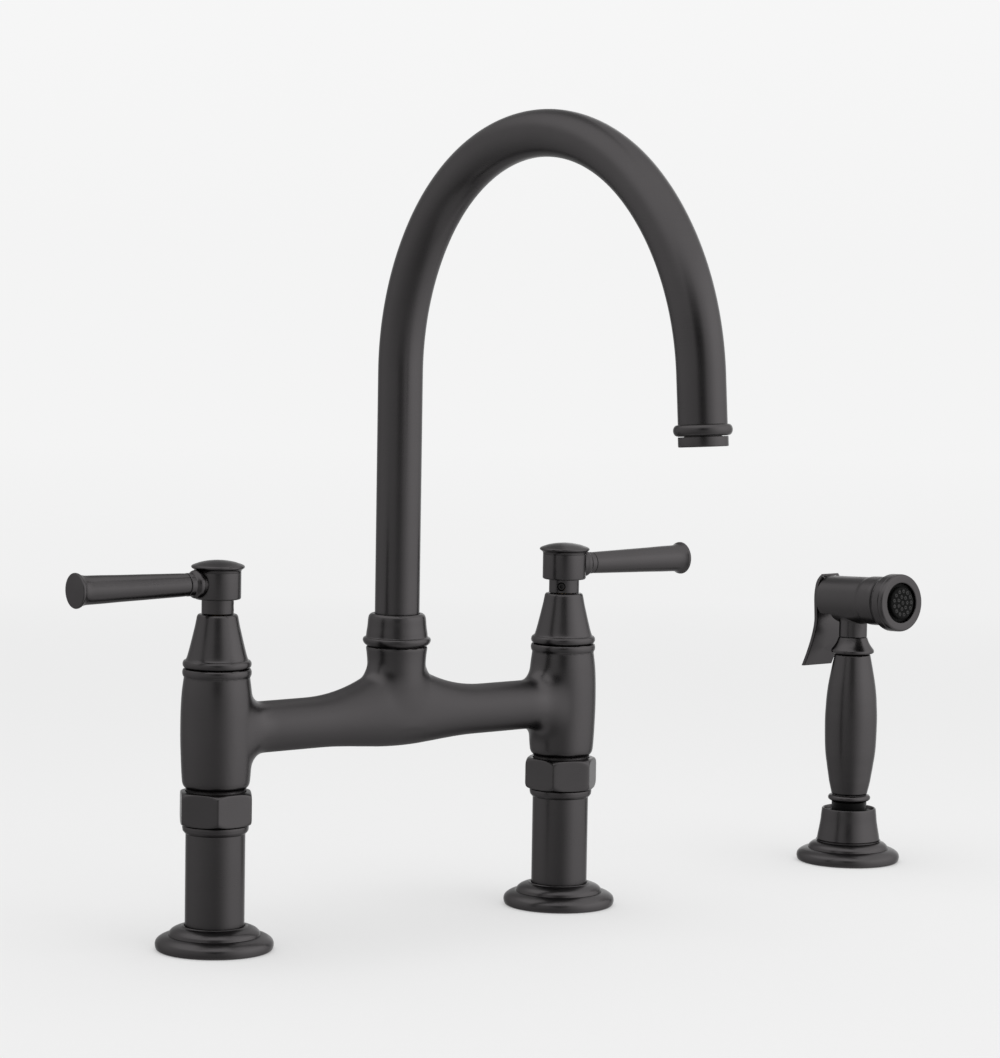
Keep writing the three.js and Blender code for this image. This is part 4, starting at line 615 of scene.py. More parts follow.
def union_nut(side, x):
    """A hexagon whose corners are turned away towards both ends, with a soft edge down each corner."""
    node = f"{side}_union_nut"
    low, high = base_of(node), top_of(node)
    ends = np.linspace(0, 1, NUT_END_RINGS) ** NUT_END_SPREAD * NUT_END_HEIGHT
    ends = np.concatenate([ends, [NUT_MIDDLE]])
    heights = np.concatenate([low + ends, high - ends[::-1]])
    angles = np.linspace(0, 2 * math.pi, NUT_SEGMENTS, endpoint=False)
    sixth = math.pi / 3
    from_flat = (angles - math.radians(NUT_TURN[side] - 60) + sixth / 2) % sixth - sixth / 2
    hexagon = NUT_FLAT / np.cos(from_flat)
    vertices = []
    for z in heights:
        t = min(1, min(z - low, high - z) / NUT_CROWN)
        crown = NUT_END_RADIUS + (NUT_CORNER - NUT_END_RADIUS) * math.sqrt(1 - (1 - t) ** 2)
        radii = -NUT_CORNER_BLEND * np.log(np.exp(-hexagon / NUT_CORNER_BLEND)
                                           + math.exp(-crown / NUT_CORNER_BLEND))
        vertices += [(r * math.cos(a), r * math.sin(a), z) for r, a in zip(radii, angles)]
    floor_level, seat = low + NUT_FLOOR, NECK_IN_NUT + GAP
    for r, z in ((NUT_MOUTH, high), (NUT_MOUTH, floor_level), (seat, floor_level), (seat, low)):
        vertices += [(r * math.cos(a), r * math.sin(a), z) for a in angles]
    rings = np.arange(len(vertices)).reshape(-1, NUT_SEGMENTS).tolist()
    faces = [face for lower, upper in zip(rings, rings[1:] + rings[:1]) for face in band(lower, upper)]
    dress(finish_mesh(f"{node}_turned", vertices, faces, upright(x, 0), NUT_SHARP), node)


# ---------------------------------------------------------------- bridge

BEAD_HEIGHT = 3.6
BONNET_HEIGHT = 24.5
BARREL_BASE = top_of("left_union_nut") + 1.5
BARREL_TOP = base_of("left_handle_hub") - GAP - BONNET_HEIGHT - GAP
BARREL_STUB = 13.6
BARREL_NECK = 15.0
ARM_AXIS = BARREL_BASE + 26.1
ARM_RADIUS = 11.93
ARM_BELLY = 2.3
ARM_BELLY_REACH = 45
ARM_CREST = 9.5
ARM_CREST_REACH = 53
ARM_CREST_POWER = 2.2
ARM_FILLET = 8.0
SOCKET_TOP = top_of("bridge_body")
SOCKET_RADIUS = 13.7
SOCKET_FILLET = 4.5
INLET_BORE = 8.5
SEAT_BORE, SEAT_DEPTH = 11.3, 36
SEAT_FLOOR = 3                # between the inlet's bore and the cartridge's seat
THREAD_BORE, THREAD_DEPTH = 13.0, 10
SPIGOT_BORE, SPIGOT_DEPTH = 10.9, 41
COLLAR_BORE, COLLAR_DEPTH = 12.7, 9
CASTING_EDGE = 0.35           # rounding of the casting's outer corners
CASTING_STEP = 0.7
CASTING_WALL = 1.4            # left between the spout's bore and the belly
CASTING_HALF = 18.5           # half the casting's greatest width, with some room
CASTING_PAST_INLET = 18       # how far it reaches past a barrel's middle, with some room
BLEND_CLEAR, BLEND_FADE = 0.1, 0.3     # how far outside the thread's bore the softening starts to rise
BLEND_ARM_START, BLEND_ARM_FADE = 14.5, 3      # from a barrel's or the socket's middle
BLEND_HEIGHT = 22             # over and under the arms' axis
SATIN_REACH, SATIN_FADE = 82, 8        # where the arms' brushing ends along them
SATIN_HEIGHT, SATIN_HEIGHT_FADE = 20, 6        # and where it ends above their axis


def barrel_outline():
    stub, base, neck = base_of("bridge_body"), BARREL_BASE, BARREL_TOP - BEAD_HEIGHT
    outline = [(0, stub), (BARREL_STUB, stub)]
    outline += curve((BARREL_STUB, base - 0.9), (13.62, base - 0.4), (13.85, base + 0.1), (14.6, base + 0.8),
                     (15.2, base + 1.9), (15.55, base + 3.8), (15.95, base + 9), (16.4, base + 20),
                     (16.5, base + 27), (16.4, base + 36), (16.0, base + 43.5), (15.5, base + 47.5),
                     (BARREL_NECK, neck), steps=4)
    return outline + half_round(BARREL_NECK, neck, BARREL_TOP, 0.8) + [(0, BARREL_TOP)]


def socket_outline():
    base, top = ARM_AXIS - 4, SOCKET_TOP
    outline = [(0, base), (SOCKET_RADIUS, base)]
    outline += curve((SOCKET_RADIUS, top - 12), (13.85, top - 7), (14.15, top - 3.5), (14.45, top - 1.2),
                     (14.4, top - 0.3), (14.1, top), steps=4)
    return outline + [(0, top)]


BARREL_OUTLINE = shrunk(barrel_outline(), CASTING_EDGE)
SOCKET_OUTLINE = shrunk(socket_outline(), CASTING_EDGE)


def arm_distance(x, y, height):
    """The arms: round near the barrels, rising to a crest and sinking to a belly at the socket."""
    reach = np.abs(x)
    turn = np.pi * np.minimum(reach, ARM_BELLY_REACH) / ARM_BELLY_REACH
    belly = np.where(reach < ARM_BELLY_REACH, 0.5 + 0.5 * np.cos(turn), 0)
    crest = np.clip((ARM_CREST_REACH - reach) / (ARM_CREST_REACH - SOCKET_RADIUS), 0, 1) ** ARM_CREST_POWER
    wide = ARM_RADIUS + ARM_BELLY * belly
    tall = np.where(height > 0, ARM_RADIUS + ARM_CREST * crest, wide)
    ratio = np.sqrt((y / wide) ** 2 + (height / tall) ** 2)
    return (ratio - 1) * np.minimum(wide, tall)


def bridge_field(x, y, z):
    """Barrels, arms and socket, less the barrels' three bores and the spout's two."""
    side, height = np.abs(x), z - ARM_AXIS
    from_barrel, from_socket = np.hypot(side - INLET_X, y), np.hypot(x, y)
    barrel = outline_distance(BARREL_OUTLINE, from_barrel, z) - CASTING_EDGE
    socket = outline_distance(SOCKET_OUTLINE, from_socket, z) - CASTING_EDGE
    arms = np.maximum(arm_distance(x, y, height), side - INLET_X)
    body = round_union(arms, socket, SOCKET_FILLET * crossing(x, y, height, y))
    body = round_union(body, barrel, ARM_FILLET * crossing(side - INLET_X, y, height, y))
    seat, thread = BARREL_TOP - SEAT_DEPTH, BARREL_TOP - THREAD_DEPTH
    inlet = np.maximum(from_barrel - INLET_BORE, z - seat + SEAT_FLOOR)
    cartridge = np.maximum(from_barrel - SEAT_BORE, seat - z)
    bonnet_thread = np.maximum(from_barrel - THREAD_BORE, thread - z)
    bores = np.minimum(inlet, np.minimum(cartridge, bonnet_thread))
    spigot = np.maximum(from_socket - SPIGOT_BORE, SOCKET_TOP - SPIGOT_DEPTH - z)
    collar = np.maximum(from_socket - COLLAR_BORE, SOCKET_TOP - COLLAR_DEPTH - z)
    under = np.where(height < 0, body + CASTING_WALL, -CASTING_WALL)
    return np.maximum(np.maximum(body, -bores), -np.maximum(np.minimum(spigot, collar), under))


def blend_share(x, y, z):
    """Where the casting's fillets run, from 0 to 1: away from its bores, beads and seats."""
    side, height = np.abs(x), z - ARM_AXIS
    nearest = np.minimum(np.hypot(x, y), np.hypot(side - INLET_X, y))
    outside = np.clip((nearest - THREAD_BORE - BLEND_CLEAR) / BLEND_FADE, 0, 1)
    from_inlet = np.clip((INLET_X - BLEND_ARM_START - side) / BLEND_ARM_FADE, 0, 1)
    on_arm = from_inlet * np.clip((side - BLEND_ARM_START) / BLEND_ARM_FADE, 0, 1)
    level = np.clip((BLEND_HEIGHT - np.abs(height)) / BLEND_ARM_FADE, 0, 1)
    return np.maximum(on_arm, outside) * level


def bridge():
    reach, margin = INLET_X + CASTING_PAST_INLET, 2 * CASTING_STEP
    low = (-reach, -CASTING_HALF, base_of("bridge_body") - margin)
    high = (reach, CASTING_HALF, SOCKET_TOP + margin)
    piece = casting("bridge_body_cast", bridge_field, low, high, CASTING_STEP)
    soften(piece, blend_share)
    x, _, z = vertex_places(piece).T
    inward = np.clip((SATIN_REACH - np.abs(x)) / SATIN_FADE, 0, 1)
    below = np.clip((ARM_AXIS + SATIN_HEIGHT - z) / SATIN_HEIGHT_FADE, 0, 1)
    store_share(piece, "arm_share", inward * below)
    dress(piece, "bridge_body", bridge_material())


# ---------------------------------------------------------------- bonnets

BONNET_BASE = BARREL_TOP + GAP
BONNET_TOP = BONNET_BASE + BONNET_HEIGHT
BONNET_BORE = 9.5
BONNET_STEM_BORE = 4.3


def bonnet(side, x):
    node = f"{side}_bonnet"
    skirt, skirt_radius = base_of(node), THREAD_BORE - GAP
    ceiling = top_of(f"{side}_cartridge_body")
    cone, top = BONNET_BASE + BEAD_HEIGHT, BONNET_TOP
    seam = BONNET_BASE - GAP + 0.03
    outline = [(BONNET_BORE, skirt), (skirt_radius, skirt), (skirt_radius, seam), (14.2, seam),
               (14.4, BONNET_BASE)]
    outline += half_round(14.5, BONNET_BASE + 0.05, cone, 1.2)
    outline += curve((14.35, cone + 0.15), (13.84, cone + 1.1), (13.0, cone + 4), (12.0, cone + 8),
                     (11.04, cone + 12), (10.12, cone + 16), (9.4, top - 1.1), steps=6)
    outline += curve((9.2, top - 0.6), (8.85, top - 0.15), (8.4, top), steps=4)
    outline += [(BONNET_STEM_BORE, top), (BONNET_STEM_BORE, ceiling + 4), (BONNET_BORE, ceiling + GAP)]
    dress_turned(node, outline, upright(x, 0))


# ---------------------------------------------------------------- handles

HUB_RADIUS = 10.6
HUB_NECK_RADIUS = 7.35
HUB_BASE = base_of("left_handle_hub") + 6.6
HUB_TOP = top_of("left_handle_hub")
HUB_RECESS_RADIUS, HUB_RECESS = 6.3, 1.3
STEM_HOLE = 4.3
LEVER_AXIS = HUB_BASE + 7.2
STUD_RADIUS = 3.0
STUD_HOLE_START, STUD_HOLE_END = 4.3, 14       # from the handle's axis
SET_SCREW_RADIUS = 1.75
SET_SCREW_START = 4.3         # from the handle's axis
SET_SCREW_CHAMFER = 0.25
KEY_RADIUS, KEY_DEPTH = 0.95, 1.3
SET_SCREW_TURN = 50           # degrees from the front towards the spout
SET_SCREW_SINK = 0.55         # of its end below the neck's surface
CAP_RADIUS = 12.2
JOINT_COVER = 0.24            # how far the hub reaches into its seam with the cap


def screw_line(side, sign):
    """From the handle's axis out through its set screw."""
    level = (base_of(f"{side}_handle_hub") + HUB_BASE) / 2
    turn = math.radians(-90 - sign * SET_SCREW_TURN)
    return Matrix.Rotation(turn, 4, "Z") @ sideways(0, 0, level, 1)


def hub(side, x, sign):
    node = f"{side}_handle_hub"
    base, top, neck = base_of(node), HUB_TOP + JOINT_COVER, HUB_NECK_RADIUS
    recess = HUB_TOP - HUB_RECESS
    piece = turned(f"{node}_turned", rounded([
        (0, base), (neck, base, 0.25), (neck, HUB_BASE, 0.25), (HUB_RADIUS, HUB_BASE, 0.9),
        (HUB_RADIUS, top, 0.1), (HUB_RECESS_RADIUS, top), (HUB_RECESS_RADIUS, recess), (0, recess)]))
    combine(piece, rod("stem_hole", STEM_HOLE, base - 1, LEVER_AXIS - STEM_HOLE))
    stud_line = sideways(0, 0, LEVER_AXIS, sign)
    combine(piece, rod("stud_hole", STUD_RADIUS + GAP, STUD_HOLE_START, STUD_HOLE_END, stud_line))
    hole, inner, outer = SET_SCREW_RADIUS + GAP, SET_SCREW_START - GAP, 9
    mouth = hole + SET_SCREW_CHAMFER
    outline = [(0, inner), (hole, inner), (hole, neck - SET_SCREW_CHAMFER), (mouth, neck + 0.2),
               (mouth, outer), (0, outer)]
    combine(piece, turned("screw_hole", outline, screw_line(side, sign), SMALL_SEGMENTS))
    piece.matrix_world = upright(x, 0)
    dress(piece, node)


def set_screw(side, x, sign):
    """A grub screw with a hexagon socket, just under the neck's surface."""
    node = f"{side}_set_screw"
    inner, outer = SET_SCREW_START, HUB_NECK_RADIUS - SET_SCREW_SINK
    outline = rounded([(0, inner), (SET_SCREW_RADIUS, inner), (SET_SCREW_RADIUS, outer, 0.3), (0, outer)])
    piece = turned(f"{node}_turned", outline, None, SMALL_SEGMENTS)
    combine(piece, rod("key_socket", KEY_RADIUS, outer - KEY_DEPTH, outer + 1, None, 6))
    piece.matrix_world = upright(x, 0) @ screw_line(side, sign)
    dress(piece, node, BLACK_STEEL)


def cap(side, x):
    node = f"{side}_handle_cap"
    base, spigot, spigot_radius = HUB_TOP + GAP, base_of(node), HUB_RECESS_RADIUS - GAP
    outline = [(0, spigot), (spigot_radius, spigot), (spigot_radius, base), (10.5, base)]
    outline += curve((10.6, base + 0.05), (10.66, base + 0.5), (10.95, base + 1.05), (11.5, base + 1.5),
                     (12.0, base + 1.85), (CAP_RADIUS, base + 2.3), (12.0, base + 2.8), (11.4, base + 3.2),
                     (10.2, base + 3.65), (7.7, base + 4.45), (4.0, base + 5.1), (0, top_of(node)))
    dress_turned(node, outline, upright(x, 0))


FERRULE_START, FERRULE_END = 8.8, 17.0      # from the handle's axis
LEVER_START, LEVER_LENGTH = 4.6, 75.8
LEVER_FLARE = 6.4


def ferrule(side, x, sign):
    """The beaded collar between hub and rod. Its inner end is saddled to the hub's side."""
    node = f"{side}_lever_ferrule"
    bore, seat = STUD_RADIUS + GAP, HUB_RADIUS + 0.04
    outline = [(bore, FERRULE_START), (5.9, FERRULE_START)]
    outline += curve((6.0, 9.4), (6.2, 10.4), (6.42, 11.2), (6.5, 11.9), (6.4, 12.7), (6.0, 13.4),
                     (5.5, 13.95), (5.28, 14.5), steps=4)
    outline += [(5.3, 14.75), (5.3, FERRULE_END - 0.25), (5.1, FERRULE_END), (bore, FERRULE_END)]

    def saddle(px, py, pz):
        return (px, py, max(pz, math.sqrt(seat ** 2 - py ** 2)))

    dress(turned(f"{node}_turned", outline, sideways(x, 0, LEVER_AXIS, sign), shift=saddle), node)


def lever(side, x, sign):
    root, flare, end = FERRULE_END + GAP, LEVER_LENGTH - LEVER_FLARE, LEVER_LENGTH
    outline = rounded([(0, LEVER_START), (STUD_RADIUS, LEVER_START, 0.3), (STUD_RADIUS, root), (4.7, root)])
    outline += curve((5.0, root + 0.05), (5.15, root + 0.3), (5.3, root + 3), (5.56, 31), (5.82, 41.5),
                     (6.04, 52), (6.37, 62.5), (6.5, flare))
    outline += curve((6.6, flare + 1.6), (6.95, flare + 3.2), (7.45, flare + 4.4), (7.8, flare + 5.0),
                     (7.95, flare + 5.5), (7.95, end - 0.4), (7.75, end - 0.1), (7.4, end))
    dress_turned(f"{side}_lever", [*outline, (0, end)], sideways(x, 0, LEVER_AXIS, sign))


# ---------------------------------------------------------------- spout

TUBE_RADIUS = 10.57
TUBE_WALL = 1.5
TUBE_SEGMENTS = 64
COLLAR_BASE = SOCKET_TOP + GAP
COLLAR_TOP = COLLAR_BASE + 15.3
RISER_STEPS = 23
BEND_START = COLLAR_TOP + 113.8
BENDS = ((115, 35), (103, 94), (115, 46.5))     # radius, angle
BEND_STEP = 1.5               # degrees
SPOUT_TAIL = 24.2
TAIL_STEPS = 6
AERATOR_RADIUS = 10.75


def spout_line():
    """Points and directions down the middle of the tube."""
    points = [np.array([0, z]) for z in np.linspace(base_of("spout_tube"), BEND_START, RISER_STEPS + 1)]
    angles = [0.0] * len(points)
    for radius, sweep in BENDS:
        steps = round(sweep / BEND_STEP)
        part = math.radians(sweep / steps)
        chord = 2 * radius * math.sin(part / 2)
        for _ in range(steps):
            middle = angles[-1] + part / 2
            points.append(points[-1] + chord * np.array([-math.sin(middle), math.cos(middle)]))
            angles.append(angles[-1] + part)
    along = np.array([-math.sin(angles[-1]), math.cos(angles[-1])])
    for _ in range(TAIL_STEPS):
        points.append(points[-1] + SPOUT_TAIL / TAIL_STEPS * along)
        angles.append(angles[-1])
    return np.array(points), np.array(angles)


SPOUT_POINTS, SPOUT_ANGLES = spout_line()


def spout_tube():
    """The gooseneck, hollow from end to end."""
    around = np.linspace(0, 2 * math.pi, TUBE_SEGMENTS, endpoint=False)
    vertices = []
    for radius in (TUBE_RADIUS, TUBE_RADIUS - TUBE_WALL):
        for (y, z), a in zip(SPOUT_POINTS, SPOUT_ANGLES):
            out = radius * np.sin(around)
            vertices += list(zip(radius * np.cos(around), y + out * math.cos(a), z + out * math.sin(a)))
    rings = np.arange(len(vertices)).reshape(2, -1, TUBE_SEGMENTS).tolist()
    faces = [face for shell in rings for lower, upper in zip(shell, shell[1:]) for face in band(lower, upper)]
    faces += band(rings[0][0], rings[1][0]) + band(rings[0][-1], rings[1][-1])
    dress(finish_mesh("spout_tube_bent", vertices, faces), "spout_tube")


def spout_collar():
    node = "spout_collar"
    bore, skirt, skirt_radius = TUBE_RADIUS + GAP, base_of(node), COLLAR_BORE - GAP
    base, bead, top = COLLAR_BASE, COLLAR_BASE + 1.0, COLLAR_TOP
    outline = [(bore, skirt), (skirt_radius, skirt), (skirt_radius, base), (14.1, base)]
    outline += curve((14.3, base + 0.2), (14.9, base + 0.6), (15.7, bead + 0.5), (16.1, bead + 1.7),
                     (15.8, bead + 2.7), (15.0, bead + 3.2), (14.65, bead + 3.5))
    outline += curve((14.55, bead + 4.0), (14.4, bead + 5.5), (14.1, bead + 7.4), (13.9, bead + 9.2),
                     (13.75, bead + 11.2), (13.55, top - 1.9), (13.2, top - 0.9), (12.4, top - 0.15),
                     (11.8, top))
    dress_turned(node, [*outline, (bore, top)], upright(0, 0))


def outlet_pieces():
    """The ring, housing and screen on the tube's end, whose +Z runs back up the tube."""
    place = upright(0, *SPOUT_POINTS[-1]) @ Matrix.Rotation(SPOUT_ANGLES[-1] - math.pi, 4, "X")
    tube_bore = (TUBE_RADIUS - TUBE_WALL) * math.cos(math.pi / 8)
    thread, socket = tube_bore - GAP, TUBE_RADIUS + 0.05
    low, high = -1.6, 3.3
    outline = [(tube_bore, low), (AERATOR_RADIUS, low)]
    outline += half_round(AERATOR_RADIUS + 0.1, low + 0.1, high, 1.8, 14)
    outline += [(socket, high), (socket, -GAP), (tube_bore, -GAP)]
    dress_turned("outlet_ring", outline, place)
    top = low - GAP
    base, thread_end = top - 4.3, top + 4.9
    screen_base, bore = base + 0.8, thread - 1.1
    stop = screen_base + SCREEN_DEPTH + GAP
    outline = rounded([
        (bore, base, 0.3), (AERATOR_RADIUS, base, 0.5), (AERATOR_RADIUS, top, 0.2), (thread, top),
        (thread, thread_end), (bore - 1, thread_end), (bore - 1, stop), (bore, stop)])
    dress_turned("aerator_housing", outline, place)
    screen(place, screen_base, bore - GAP)


SCREEN_DEPTH = 3.0
SCREEN_RIM = 0.9
SCREEN_SEGMENTS = 64
SCREEN_BAR, SCREEN_PITCH = 0.34, 1.15
BAR_HEIGHT = 0.8
BAR_TUCK = 0.6                # from the rim's outer edge to the bars' ends
BAR_LAYERS = ((0, 0.7), (90, 1.0))     # direction, level above the base


def screen(place, base, radius):
    """The aerator's face: a fine square mesh, open between its bars, over a solid rim."""
    inner, top = radius - SCREEN_RIM, base + SCREEN_DEPTH
    outline = rounded([(inner, base), (radius, base, 0.15), (radius, top), (inner, top)])
    piece = turned("aerator_screen_moulded", outline, None, SCREEN_SEGMENTS)
    bars = []
    reach = radius - BAR_TUCK
    count = int(reach / SCREEN_PITCH)
    for k in range(-count, count + 1):
        half = math.sqrt(reach ** 2 - (k * SCREEN_PITCH) ** 2)
        for turn, level in BAR_LAYERS:
            along = Matrix.Rotation(math.radians(turn), 4, "Z")
            bar_place = along @ upright(0, k * SCREEN_PITCH, base + level)
            bars.append(block("bar", half, SCREEN_BAR / 2, BAR_HEIGHT, bar_place))
    join_shells(piece, bars)
    piece.matrix_world = place
    dress(piece, "aerator_screen", NYLON)


# ---------------------------------------------------------------- sprayer holder

SPRAYER_PLACE = upright(SPRAYER_X, SPRAYER_Y)
CUP_LIP_RADIUS = 14.35
CUP_FOOT_RADIUS = 16.6
CUP_SHANK_RADIUS = CUP_FOOT_RADIUS - 0.5
CUP_HOLE = 8.3
CUP_BORE = CUP_LIP_RADIUS - 1.3
CUP_FLOOR = 1.5
BUSH_FLOOR = 9.0


def holder_cup():
    foot, lip = FLANGE_TOP + GAP, top_of("holder_cup")
    outline = [(CUP_HOLE, 0), (CUP_SHANK_RADIUS, 0), (CUP_SHANK_RADIUS, foot), (CUP_FOOT_RADIUS - 0.3, foot)]
    outline += curve((CUP_FOOT_RADIUS, foot + 0.3), (16.3, foot + 2.2), (15.97, foot + 4.0),
                     (15.4, foot + 7.1), (14.9, foot + 10.3), (14.6, foot + 13.5),
                     (CUP_LIP_RADIUS, lip - 1.2))
    outline += curve((14.3, lip - 0.8), (14.1, lip - 0.2), (13.75, lip), (13.35, lip - 0.15),
                     (CUP_BORE, lip - 0.6), steps=4)
    outline += [(CUP_BORE, CUP_FLOOR), (CUP_HOLE, CUP_FLOOR)]
    dress_turned("holder_cup", outline, SPRAYER_PLACE)


def holder_bush():
    base, top = base_of("holder_bush"), top_of("holder_bush")
    hole, bore, outer = CUP_HOLE - 1, 9.5, CUP_BORE - GAP
    outline = rounded([
        (hole, base), (outer, base), (outer, top, 0.4), (10.6, top, 0.5), (bore, top - 1.2, 0.4),
        (bore, BUSH_FLOOR), (hole, BUSH_FLOOR)])
    dress_turned("holder_bush", outline, SPRAYER_PLACE, NYLON)


# ---------------------------------------------------------------- sprayer wand

CONNECTOR_TOP = 31.7
CONNECTOR_RADIUS = 9.2
WAND_BORE = 6.5
HANDLE_BASE = base_of("wand_handle")
HANDLE_TOP = top_of("wand_handle")
WAND_COLLAR_BASE = base_of("wand_collar")
WAND_COLLAR_TOP = top_of("wand_collar")


def hose_connector():
    base, top = base_of("hose_connector"), top_of("hose_connector")
    shoulder, bore, foot, neck = BUSH_FLOOR + GAP, 4.6, 6.8, WAND_BORE - GAP
    outline = rounded([
        (bore, base), (foot, base, 0.4), (foot, shoulder), (CONNECTOR_RADIUS, shoulder, 0.3),
        (CONNECTOR_RADIUS, CONNECTOR_TOP, 0.3), (neck, CONNECTOR_TOP), (neck, top, 0.3), (bore, top)])
    # Painted shade: darker than its brushed black slot, as it stands in the cup's shadow.
    dress_turned("hose_connector", outline, SPRAYER_PLACE, PAINTED_SHADE_BLACK)


def wand_end_ring():
    low, high = base_of("wand_end_ring"), top_of("wand_end_ring")
    outline = [(WAND_BORE, low), (9.1, low)] + half_round(9.35, low + 0.1, high - 0.1, 1.85, 14)
    dress_turned("wand_end_ring", [*outline, (9.3, high), (WAND_BORE, high)], SPRAYER_PLACE)


def wand_handle():
    b, top = HANDLE_BASE, HANDLE_TOP
    outline = [(WAND_BORE, b), (9.2, b)]
    outline += curve((9.45, b + 0.3), (10.2, b + 3.5), (10.9, b + 6.7), (11.4, b + 9.9), (11.95, b + 13.1),
                     (12.4, b + 16.3), (12.9, b + 19.5), (13.3, b + 23.2), (13.58, b + 28), (13.75, b + 34),
                     (13.8, b + 40.2), (13.68, b + 44), (13.5, b + 47), (13.25, b + 51.3), (12.5, b + 57.9),
                     (11.4, b + 64.3), (10.15, b + 70.7), (9.5, top - 0.6), steps=4)
    dress_turned("wand_handle", [*outline, (9.2, top - 0.1), (9.0, top), (WAND_BORE, top)], SPRAYER_PLACE)


def wand_collar():
    c, top = WAND_COLLAR_BASE, WAND_COLLAR_TOP
    outline = [(WAND_BORE, c), (9.2, c)]
    outline += curve((9.6, c + 0.05), (10.6, c + 0.3), (11.15, c + 0.7), (11.3, c + 1.3), (11.15, c + 2.1),
                     (10.6, c + 2.9), (9.6, c + 4.2), (8.8, c + 5.5), (8.15, c + 6.9), (7.75, c + 8.0),
                     (7.5, top))
    dress_turned("wand_collar", [*outline, (WAND_BORE, top)], SPRAYER_PLACE)


# ---------------------------------------------------------------- sprayer head

HEAD_DROP = 19.4              # from the head's axis to the wand's collar
HEAD_TILT = math.radians(3)
HEAD_RADIUS = 12.3
HEAD_RISE, RISE_RUN = 0.5, 5           # the barrel's centre above the bezel's, and the run up to it
HEAD_STEP = 0.42
HEAD_EDGE = 0.2
HEAD_PLACE = upright(SPRAYER_X, SPRAYER_Y, WAND_COLLAR_TOP + HEAD_DROP) @ Matrix.Rotation(-HEAD_TILT, 4, "X")
HEAD_AXIS = HEAD_PLACE @ Matrix.Rotation(-math.pi / 2, 4, "X")      # local Z runs to the back
HEAD_BACK = 17.3
BACK_LEAN = math.radians(6.5)
BACK_CORNER = 1.2
HEEL_START, HEEL_LEVEL = 8.0, -7.0
NOSE, NOSE_RADIUS = 31.5, 11.0
SLEEVE_END = 28.0
SLEEVE_RADIUS = 12.8
NECK_RADIUS = 7.38
NECK_FILLET = 0.8
SPIGOT_RADIUS, SPIGOT_LENGTH = WAND_BORE - GAP, 6.0
WATERWAY = 4.6
CHAMBER_RADIUS, CHAMBER_BACK = 7.0, 5.0
POCKET_RADIUS, POCKET_FRONT, POCKET_END = 4.6, 6.5, 13
PLUNGER_HOLE = 2.3
EAR_X, EAR_HALF = 4.3, 1.1
EAR_START, EAR_FOOT, EAR_RADIUS = 9.0, 5.0, 2.1
EAR_PLAY = 0.12               # between an ear and its slot in the trigger
PIVOT_BACK, PIVOT_LEVEL = 18.6, 10.4
KNUCKLE_RADIUS, KNUCKLE_HALF = 2.4, 2.9
HEAD_LOW, HEAD_HIGH = (-15.4, -33.0, -27.4), (15.4, 22.4, 15.4)


def head_outline():
    """Half the head's section, (radius, distance back), from nose to back."""
    sleeve, middle = SLEEVE_RADIUS, HEAD_RADIUS - BACK_CORNER
    outline = [(0, -NOSE), (NOSE_RADIUS, -NOSE), (NOSE_RADIUS, -SLEEVE_END), (14.5, -SLEEVE_END)]
    outline += curve((14.55, -27.75), (14.3, -27.2), (13.7, -26.3), (13.1, -25.2), (12.72, -24.0),
                     (sleeve, -22))
    outline += curve((sleeve, -17), (sleeve - 0.08, -15), (HEAD_RADIUS + 0.05, -13), (HEAD_RADIUS, -11),
                     steps=4)
    outline += [(middle + BACK_CORNER * math.cos(a), HEAD_BACK - BACK_CORNER + BACK_CORNER * math.sin(a))
                for a in np.linspace(0, math.pi / 2, 8)]
    return outline + [(0, HEAD_BACK)]


HEAD_OUTLINE = shrunk(head_outline(), HEAD_EDGE)


def between(value, low, high):
    """Signed distance to the span from low to high, negative inside."""
    return np.maximum(low - value, value - high)


def ears(x, y, z):
    """The two ears that carry the trigger's pin, rounded about it."""
    run = np.clip((y - EAR_START) / (PIVOT_BACK - EAR_START), 0, 1)
    underside = EAR_FOOT + (PIVOT_LEVEL - EAR_RADIUS - EAR_FOOT) * run
    web = np.maximum(between(z, underside, PIVOT_LEVEL + 0.2), between(y, EAR_START, PIVOT_BACK))
    end = np.hypot(y - PIVOT_BACK, z - PIVOT_LEVEL) - EAR_RADIUS
    return np.maximum(np.minimum(web, end), np.abs(np.abs(x) - EAR_X) - EAR_HALF)


